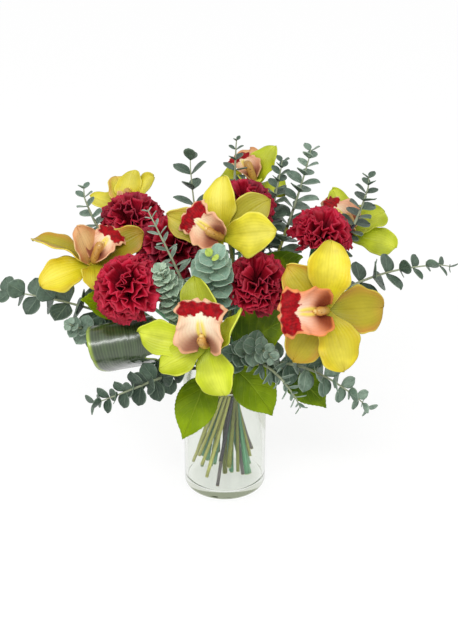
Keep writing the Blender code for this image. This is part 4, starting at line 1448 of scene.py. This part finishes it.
def petal_shape(base, axis, side, across, number, random):
    """A rule for one fan-shaped petal, from the foot of the head out to its dome."""
    share = (number + 0.5) / PETALS
    tilt = HEAD_SPREAD * math.sqrt(share)
    turn = number * GOLDEN_TURN
    around = side * math.cos(turn) + across * math.sin(turn)
    top = HEAD_DEPTH * (1.0 - DOME_FLATTER * share)
    height = DOME_MIDDLE + (top - DOME_MIDDLE) * math.cos(tilt)
    reach = around * (HEAD_RADIUS * math.sin(tilt)) + axis * height
    foot = base + axis * FOOT_HEIGHT + around * FOOT_APART
    line = base + reach - foot
    way, length = line.normalized(), line.length
    twist = random.uniform(-1.3, 1.3)
    flat = way.cross(axis + around * 0.01).normalized()
    deep = way.cross(flat)
    lateral = flat * math.cos(twist) + deep * math.sin(twist)
    deep = way.cross(lateral)
    if deep.dot(around) < 0:
        deep = -deep
    folds = random.uniform(1.3, 2.3)
    phase = random.uniform(0, 6.28)
    width = PETAL_WIDTH * random.uniform(0.80, 1.1) * (0.72 + 0.28 * math.sin(tilt))
    flare = PETAL_FLARE * random.uniform(-0.2, 1.2)
    teeth = np.array([random.uniform(0.0, 1.0) for _ in range(TEETH)])
    way, lateral, deep, foot = (np.array(vector) for vector in (way, lateral, deep, foot))

    def shape(u, v):
        spread = width / 2 * (0.16 + 0.84 * step(v, 0.12, 0.95))
        column = np.round((u + 1) / 2 * (TEETH - 1)).astype(int)
        ragged = TOOTH * (teeth[column] * 1.6 - 0.4) * (v > TORN_FROM)
        run = length * v * (1 - 0.10 * u * u) + ragged
        ripple = np.sin(u * folds * math.pi + phase) + 0.40 * np.sin(u * folds * 6.1 + phase * 2)
        fold = PETAL_FOLD * v ** 1.8 * ripple
        out = fold + flare * v ** 4
        return foot + np.outer(run, way) + np.outer(u * spread, lateral) + np.outer(out, deep)

    return shape


def make_carnation_head(name, centre, facing, random):
    """All the petals of one head. A larger head grows from its own foot."""
    axis, side = bloom_axes(facing, 0)
    across = axis.cross(side)
    base = Vector(centre)
    gathered = Gathered()
    for number in range(PETALS):
        shape = petal_shape(base, axis, side, across, number, random)
        # the head's painted shade is added to each petal's own random tone
        shade = random.uniform(0.0, 1.0) ** 1.3 + HEAD_PAINTED_SHADE.get(name, 0.0)
        gathered.add_sheet(FAN, shape, shade=min(1.3, shade))
    larger = HEAD_LARGER.get(name, 1.0)
    held = np.array(base) * (1 - larger)
    gathered.points = [points * larger + held for points in gathered.points]
    obj = gathered.build(f"{name}_carnation_head", [PETAL], PETAL_WALL)
    place(obj, "carnation_petal", f"carnation_{name}_head")


for number, (name, (centre, facing)) in enumerate(CARNATIONS.items()):
    make_carnation_head(name, centre, facing, chance.Random(CARNATION_SEED + number))

# %% [markdown]
# ## Carnation stems and cups
# The stem is slim and grey-green, with a swollen joint every few centimetres. Under the head it
# widens into the green cup that holds the petals, with five short teeth round its mouth.

# %% Carnation stems
JOINT_SPACING = 0.045
JOINT_SWELL = 1.35
JOINT_LENGTH = 0.004
CARNATION_STEM = STEM_RADIUS * 0.92
CARNATION_STEM_SIDES = 15
# height and radius of each ring of the cup, as shares of its plain length and radius
CUP_RINGS = (
    (0.02, 0.42), (0.08, 0.62), (0.18, 0.72), (0.47, 0.86), (0.77, 0.98), (1.02, 1.06),
    (1.12, 1.14),
)
CUP_TEETH = 5
CUP_TOOTH = 0.003


def make_carnation_stem(name, facing, shade):
    """A jointed stem whose last rings are the cup."""
    axis, _ = bloom_axes(facing, 0)
    path = thinned(PATHS["carnation_" + name])
    top = path[-1]
    radii = []
    for distance in lengths_along(path):
        near = abs((distance / JOINT_SPACING) % 1 - 0.5) * JOINT_SPACING
        swell = (JOINT_SWELL - 1) * math.exp(-(near / JOINT_LENGTH) ** 2)
        radii.append(CARNATION_STEM * (1 + swell))
    path += [top + axis * CALYX_LENGTH * height for height, _ in CUP_RINGS]
    radii += [CALYX_RADIUS * breadth for _, breadth in CUP_RINGS]
    gathered = Gathered()
    gathered.add_tube(path, radii, CARNATION_STEM_SIDES, shade=shade)
    obj = gathered.build(f"{name}_carnation_stem", [GREEN_STEM])
    raise_teeth(obj, path[-1], axis)
    place(obj, "green_stem", f"carnation_{name}_stem")


def raise_teeth(obj, mouth, axis):
    """Pull teeth up from the rim of the cup."""
    _, side = bloom_axes(axis, 0)
    across = axis.cross(side)
    for vertex in obj.data.vertices:
        out = vertex.co - mouth
        if abs(out.dot(axis)) < 0.001 and out.length > CALYX_RADIUS * 0.9:
            turn = math.atan2(out.dot(across), out.dot(side))
            vertex.co += axis * CUP_TOOTH * max(0.0, math.cos(CUP_TEETH * turn))


for number, (name, (_, facing)) in enumerate(CARNATIONS.items()):
    make_carnation_stem(name, facing, (number * 2 % 5) / 6)

# %% [markdown]
# ## Eucalyptus
# Eucalyptus carries its round leaves in opposite pairs, each pair turned a quarter round from the
# last, and the leaves shrink towards the tip. A leaf turns its face to the light, so its flat side
# is steered between the way its stem runs and the way the light comes. Every leaf is a copy of one
# small grid.

# %% Eucalyptus leaf
ROUND_LEAF = sheet_pattern(6, 7)
ROUND_OUTLINE = (
    (0.0, 0.10), (0.07, 0.16), (0.16, 0.58), (0.32, 0.90), (0.52, 1.0), (0.72, 0.90), (0.88, 0.58),
    (0.96, 0.30), (1.0, 0.06),
)
ROUND_WALL = 0.0007
ROUND_CUP = 0.14
ROUND_CREASE = 0.035
ROUND_DROOP = 0.10
ROUND_CRINKLE = 0.0016
LIGHT_WAY = Vector((0.0, -0.72, 0.70))
# more: how much further down the leaves go than on the plain solid; spacing, long, wide: how far
# apart the pairs are and how long and wide a leaf is, in leaf radii; light: how far the leaves turn
# to the light; smallest: the last leaves' size, as a share
Sprig = namedtuple("Sprig", "more spacing long wide light smallest finish")
SPRIG_LOOKS = {
    "far_left": Sprig(1.30, 1.15, 2.2, 2.2, 3.0, 0.50, GREEN_LEAF),
    "mid_left": Sprig(1.30, 0.95, 2.2, 2.2, 1.4, 0.40, SILVER_LEAF),
    "low_left": Sprig(1.30, 0.80, 2.0, 1.9, 1.0, 0.55, GREEN_LEAF),
    "back_left": Sprig(2.20, 1.50, 2.4, 1.7, 0.4, 0.50, SILVER_LEAF),
    "slim_left": Sprig(1.20, 1.30, 2.8, 1.0, 0.0, 0.30, SILVER_LEAF),
    "upper_left": Sprig(1.60, 1.45, 2.3, 1.5, 0.8, 0.75, GREEN_LEAF),
    "top": Sprig(2.80, 1.60, 2.4, 1.6, 0.3, 0.35, GREEN_LEAF),
    "top_middle": Sprig(3.30, 0.95, 2.3, 1.9, 0.7, 0.50, GREEN_LEAF),
    "top_right": Sprig(2.90, 0.85, 2.2, 1.9, 0.7, 0.50, SILVER_LEAF),
    "back_right": Sprig(2.40, 1.10, 2.3, 1.8, 0.5, 0.55, GREEN_LEAF),
    "far_right": Sprig(1.35, 1.25, 2.3, 2.0, 1.2, 0.36, GREEN_LEAF),
    "low_right": Sprig(1.30, 0.95, 2.1, 2.0, 1.2, 0.55, SILVER_LEAF),
    "slim_front": Sprig(1.40, 0.95, 2.8, 1.0, 0.1, 0.40, SILVER_LEAF),
    "under_centre": Sprig(2.20, 0.75, 1.8, 1.7, 0.8, 0.40, SILVER_LEAF),
    "rosette": Sprig(1.40, 0.50, 2.1, 2.1, 0.4, 0.55, MINT_LEAF),
    "mint": Sprig(1.60, 0.52, 2.3, 2.1, 0.5, 0.50, PALE_MINT),
}
CRINKLE = {"rosette": 0.15, "mint": 1.0}
FEWEST_PAIRS = 2
LAST_PAIR = 0.0015
BUDS_FROM = 0.965
BUD_SIZE = 0.62
SPRIG_SEED = 70
TWIG_FROM = 1.15
LOW_STEM_SIDES = 10
TWIG_SIDES = 8


def round_leaf_shape(start, out, face, length, width, crinkle, seed):
    """A rule for one leaf: out is where it points, and face is where its top side looks."""
    side = out.cross(face).normalized()
    face = side.cross(out)
    out, side, face, start = (np.array(vector) for vector in (out, side, face, start))

    def shape(u, v):
        half = through(ROUND_OUTLINE, v) * width / 2
        crease = ROUND_CREASE * length * np.exp(-(u / 0.25) ** 2) * step(v, 0.1, 0.4)
        cup = ROUND_CUP * half * u * u - crease
        droop = -ROUND_DROOP * length * v * v
        rough = crinkle * ROUND_CRINKLE * np.sin(u * 5 + seed) * np.sin(v * 12 + seed * 2)
        lift = cup + droop + rough * step(v, 0.1, 0.3)
        return start + np.outer(v * length, out) + np.outer(u * half, side) + np.outer(lift, face)

    return shape


def leaf_marks(total, leafy, spacing):
    """Distances along the stem at which a pair of leaves grows."""
    pairs = max(FEWEST_PAIRS, round(leafy / spacing))
    return [total - leafy * (1 - k / pairs) for k in range(pairs)] + [total - LAST_PAIR]


def at_distance(path, run, distance):
    """The point and the way of the path at a distance from its foot."""
    i = min(max(1, int(np.searchsorted(run, distance))), len(run) - 1)
    t = (distance - run[i - 1]) / (run[i] - run[i - 1])
    return path[i - 1].lerp(path[i], t), (path[i] - path[i - 1]).normalized()


def add_pair(sheets, name, point, way, out, young, radius, number, random):
    """Two leaves on opposite sides of the stem. Young is 0 on the oldest leaf and 1 at the tip."""
    looks = SPRIG_LOOKS[name]
    for sign in (1, -1):
        rake = 0.30 + 0.55 * young + random.uniform(-0.12, 0.12)
        pointing = (out * sign + way * rake).normalized()
        face = way - out * sign * rake + LIGHT_WAY * looks.light
        face += Vector([random.uniform(-0.22, 0.22) for _ in range(3)])
        start = point + out * sign * STEM_RADIUS * 0.4
        bud = name == "rosette" and young > BUDS_FROM
        size = radius * random.uniform(0.86, 1.10) * (BUD_SIZE if bud else 1.0)
        long, wide, crinkle = size * looks.long, size * looks.wide, CRINKLE.get(name, 0.0)
        shape = round_leaf_shape(start, pointing, face, long, wide, crinkle, number + sign)
        tone = min(1.0, random.uniform(0.05, 0.75) + 0.35 * young)
        sheets.add_sheet(ROUND_LEAF, shape, 3 if bud else 0, shade=tone)


def make_sprig(name, leafy, leaf_radius, random):
    """The leaves of a sprig, pair by pair, and its stem: wood below and a thin twig above."""
    looks = SPRIG_LOOKS[name]
    wood = (WOODY_STEM, OLIVE_STEM, WOODY_STEM, GREEN_STEM)[len(name) % 4]
    finishes = [looks.finish, wood, TWIG, LIME_BUD]
    path = PATHS["eucalyptus_" + name]
    run = lengths_along(path)
    total = run[-1]
    sheets = Gathered()
    side = Vector((1, 0, 0))
    spin = random.uniform(0, math.pi)
    distances = leaf_marks(total, leafy * looks.more, leaf_radius * looks.spacing)
    for number, distance in enumerate(distances):
        point, way = at_distance(path, run, distance)
        side = (side - way * side.dot(way)).normalized()
        young = min(1.0, max(0.0, (distance - total + leafy) / leafy))
        turn = spin + number * math.pi / 2 + random.uniform(-0.25, 0.25)
        out = side * math.cos(turn) + way.cross(side) * math.sin(turn)
        radius = leaf_radius * (1 - (1 - looks.smallest) * young ** 1.3)
        add_pair(sheets, name, point, way, out, young, radius, number, random)
    leaves = sheets.build(f"{name}_sprig", finishes, ROUND_WALL)
    solid = Gathered()
    bare = sum(distance <= total - leafy * TWIG_FROM for distance in run)
    low = thinned(path, bare)
    radii = [STEM_RADIUS * 0.95] * len(low)
    solid.add_tube(low, radii, LOW_STEM_SIDES, 1, shade=random.uniform(0.2, 0.8))
    high = path[bare - 2:]
    rest = lengths_along(high)
    radii = [STEM_RADIUS * (0.90 - 0.62 * distance / rest[-1]) for distance in rest]
    solid.add_tube(high, radii, TWIG_SIDES, 2, shade=0.4)
    stem = solid.build("stem", finishes)
    place(joined(leaves.name, leaves, stem), "eucalyptus_leaf", f"eucalyptus_{name}")


for number, (name, (_, _, leafy, leaf_radius)) in enumerate(EUCALYPTUS.items()):
    make_sprig(name, leafy, leaf_radius, chance.Random(SPRIG_SEED + number))

# %% [markdown]
# ## Oval leaves
# The oval leaves are leathery and pointed, with a fine saw-toothed edge. The blade folds a little
# along its midrib, waves at its edge and dips at its tip. Its stalk is a slim tube.

# %% Oval leaves
OVAL_ROWS = 36
OVAL_BLADE = sheet_pattern(26, OVAL_ROWS)
OVAL_OUTLINE = (
    (0.0, 0.06), (0.05, 0.16), (0.12, 0.52), (0.24, 0.84), (0.38, 1.0), (0.52, 0.97), (0.68, 0.78),
    (0.82, 0.48), (0.92, 0.20), (1.0, 0.015),
)
OVAL_WALL = 0.0007
OVAL_SAW = 0.0006
OVAL_FOLD = 0.16
OVAL_WAVE = 0.0022
OVAL_RIPPLE = 0.0009
OVAL_OVERLAP = 4
STALK_SIDES = 10
OVAL_LARGER = {"inner_right": 1.65, "behind_right": 1.75}
# each leaf's tone; behind_right is darkest: painted shade for the deep gap behind the flowers
OVAL_TONES_AND_PAINTED_SHADE = {"front_left": 0.25, "front_right": 0.25, "behind_right": 1.0}


def blade_frames(points, facing):
    """A sideways and an upward vector at each point, for a blade whose top side looks one way."""
    frames = []
    for tangent in tangents(points):
        across = tangent.cross(Vector(facing)).normalized()
        frames.append((across, across.cross(tangent).normalized()))
    return frames


def along_path(points, values, shares):
    """Rows of values at shares of the way along a path's points."""
    run = np.array(lengths_along(points))
    values = np.array(values)
    return np.stack([np.interp(shares * run[-1], run, values[:, k]) for k in range(3)], axis=1)


def oval_shape(points, facing, width, seed):
    """A rule that bends the pattern into one oval blade along its path."""
    frames = blade_frames(points, facing)

    def shape(u, v):
        middle = along_path(points, points, v)
        across = along_path(points, [pair[0] for pair in frames], v)
        up = along_path(points, [pair[1] for pair in frames], v)
        half = through(OVAL_OUTLINE, v) * width / 2
        out = np.abs(u)
        saw = OVAL_SAW * (np.round(v * OVAL_ROWS) % 2) * (out > 0.99) * step(v, 0.05, 0.2)
        wave = OVAL_WAVE * out ** 2 * np.sin(v * 10 + seed + np.sign(u))
        lift = OVAL_FOLD * half * out + wave
        lift = lift + OVAL_RIPPLE * np.sin(v * 30 - out * 9) * out * (1 - out)
        return middle + across * (u * (half + saw))[:, None] + up * lift[:, None]

    return shape


def make_oval_leaf(name, facing, length, width, number):
    """A blade along the last stretch of its path, and the stalk below it."""
    path = PATHS["leaf_" + name]
    larger = OVAL_LARGER.get(name, 1.0)
    length, width = length * larger, width * larger
    run = lengths_along(path)
    start = next(k for k, distance in enumerate(run) if distance >= run[-1] - length)
    sheets = Gathered()
    shade = OVAL_TONES_AND_PAINTED_SHADE.get(name, 0.25 + 0.6 * (number % 3) / 2)
    sheets.add_sheet(OVAL_BLADE, oval_shape(path[start:], facing, width, number * 1.7), shade=shade)
    blade = sheets.build(f"{name}_oval_leaf", [OVAL_LEAF, OLIVE_STEM], OVAL_WALL)
    stalk = thinned(path, start + OVAL_OVERLAP)
    shares = [0.95 if distance < LEAF_THINS else 0.6 for distance in lengths_along(stalk)]
    shares[-1] = 0.3
    radii = [STEM_RADIUS * share for share in shares]
    solid = Gathered()
    solid.add_tube(stalk, radii, STALK_SIDES, 1, shade=0.2 + 0.6 * (number % 2))
    stem = solid.build("stalk", [OVAL_LEAF, OLIVE_STEM])
    place(joined(blade.name, blade, stem), "oval_leaf", f"leaf_{name}")


for number, (name, (_, _, facing, length, width)) in enumerate(LEAVES.items()):
    make_oval_leaf(name, facing, length, width, number)

# %% [markdown]
# ## The rolled strap leaf
# One long, dark, glossy leaf is curled back over itself, as florists do to hide the tie. The blade
# follows a roll round a level line, and its tip is tucked inside. Its middle line and its sideways
# way are smoothed, so that it bends as evenly as a stiff leaf does.

# %% Strap leaf
STRAP_BLADE = sheet_pattern(40, 90)
STRAP_WALL = 0.0008
STRAP_SEGMENTS = 12
STRAP_START = -22
STRAP_JOIN = -5
STRAP_STRIDE = 4
STALK_END = -16
MIDDLE_SMOOTHING = 5
LEVEL_SMOOTHING = 16
STRAP_TAPER = (0.02, 0.94, 0.7)
STRAP_WIDER = 1.25
STRAP_PINCH = 0.45
PINCH_PLACE = 0.27
PINCH_REACH = 0.09
STRAP_RIBS = 0.0001
STRAP_CREASE = 0.0006


def strap_middle(stalk):
    """The middle line of the blade: the end of the stalk, and then the roll, in close steps."""
    _, curl = strap_curl()
    rough = stalk[STRAP_START:STRAP_JOIN:STRAP_STRIDE] + curl
    fine = []
    ends = [rough[0], *rough, rough[-1]]
    for before, a, b, after in zip(ends, rough, rough[1:], ends[3:]):
        for k in range(STRAP_SEGMENTS):
            t = k / STRAP_SEGMENTS
            pull = (b - before) * 0.5
            push = (after - a) * 0.5
            fine.append(
                a * (2 * t**3 - 3 * t * t + 1) + pull * (t**3 - 2 * t * t + t)
                + b * (3 * t * t - 2 * t**3) + push * (t**3 - t * t)
            )
    return fine + [rough[-1]]


def smoothed(vectors, reach):
    """Each vector averaged with this many of its neighbours on both sides."""
    rows = np.pad(np.array(vectors), ((reach, reach), (0, 0)), mode="edge")
    weights = np.ones(2 * reach + 1) / (2 * reach + 1)
    columns = [np.convolve(rows[:, k], weights, "valid") for k in range(3)]
    return [Vector(row) for row in np.stack(columns, 1)]


def square_to(way, side):
    """The part of side that stands square to way, as a unit vector."""
    return (side - way * side.dot(way)).normalized()


def make_strap_leaf():
    axis, _ = strap_curl()
    stalk = PATHS["strap_leaf"][:-1]
    points = smoothed(strap_middle(stalk), MIDDLE_SMOOTHING)
    ways = tangents(points)
    level = smoothed([square_to(way, axis) for way in ways], LEVEL_SMOOTHING)
    level = [square_to(way, side) for way, side in zip(ways, level)]
    outward = [way.cross(side) for way, side in zip(ways, level)]
    start, span, fullness = STRAP_TAPER

    def shape(u, v):
        middle = along_path(points, points, v)
        across = along_path(points, level, v)
        up = along_path(points, outward, v)
        swell = np.sin(np.pi * (start + span * v)) ** fullness
        half = LOOP_WIDTH / 2 * swell
        ridge = STRAP_RIBS * np.cos(u * np.pi * 6) - STRAP_CREASE * np.exp(-(u / 0.05) ** 2)
        pinched = 1 - STRAP_PINCH * np.exp(-((v - PINCH_PLACE) / PINCH_REACH) ** 2)
        sideways = u * half * np.where(u < 0, STRAP_WIDER, pinched)
        lift = ridge * step(swell, 0.2, 0.8)
        return middle + across * sideways[:, None] + up * lift[:, None]

    sheets = Gathered()
    sheets.add_sheet(STRAP_BLADE, shape)
    blade = sheets.build("rolled_strap_leaf", [STRAP_LEAF, GREEN_STEM], STRAP_WALL)
    tube = thinned(stalk, STALK_END)
    radii = [STEM_RADIUS] * (len(tube) - 1) + [STEM_RADIUS * 0.4]
    solid = Gathered()
    solid.add_tube(tube, radii, STALK_SIDES, 1, shade=0.5)
    stem = solid.build("strap_stalk", [STRAP_LEAF, GREEN_STEM])
    place(joined(blade.name, blade, stem), "strap_leaf", "strap_leaf")
    print("its blade is", round(lengths_along(points)[-1], 3), "m long")


make_strap_leaf()

# %% [markdown]
# ## Measure and finish
# The size of the finished bouquet is printed beside the size of its plain solids.

# %% Sizes
visual_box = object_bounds()
for label, box in (("plain solids", cad_box), ("finished pieces", visual_box)):
    print(label, [round(high - low, 4) for low, high in zip(*box)])
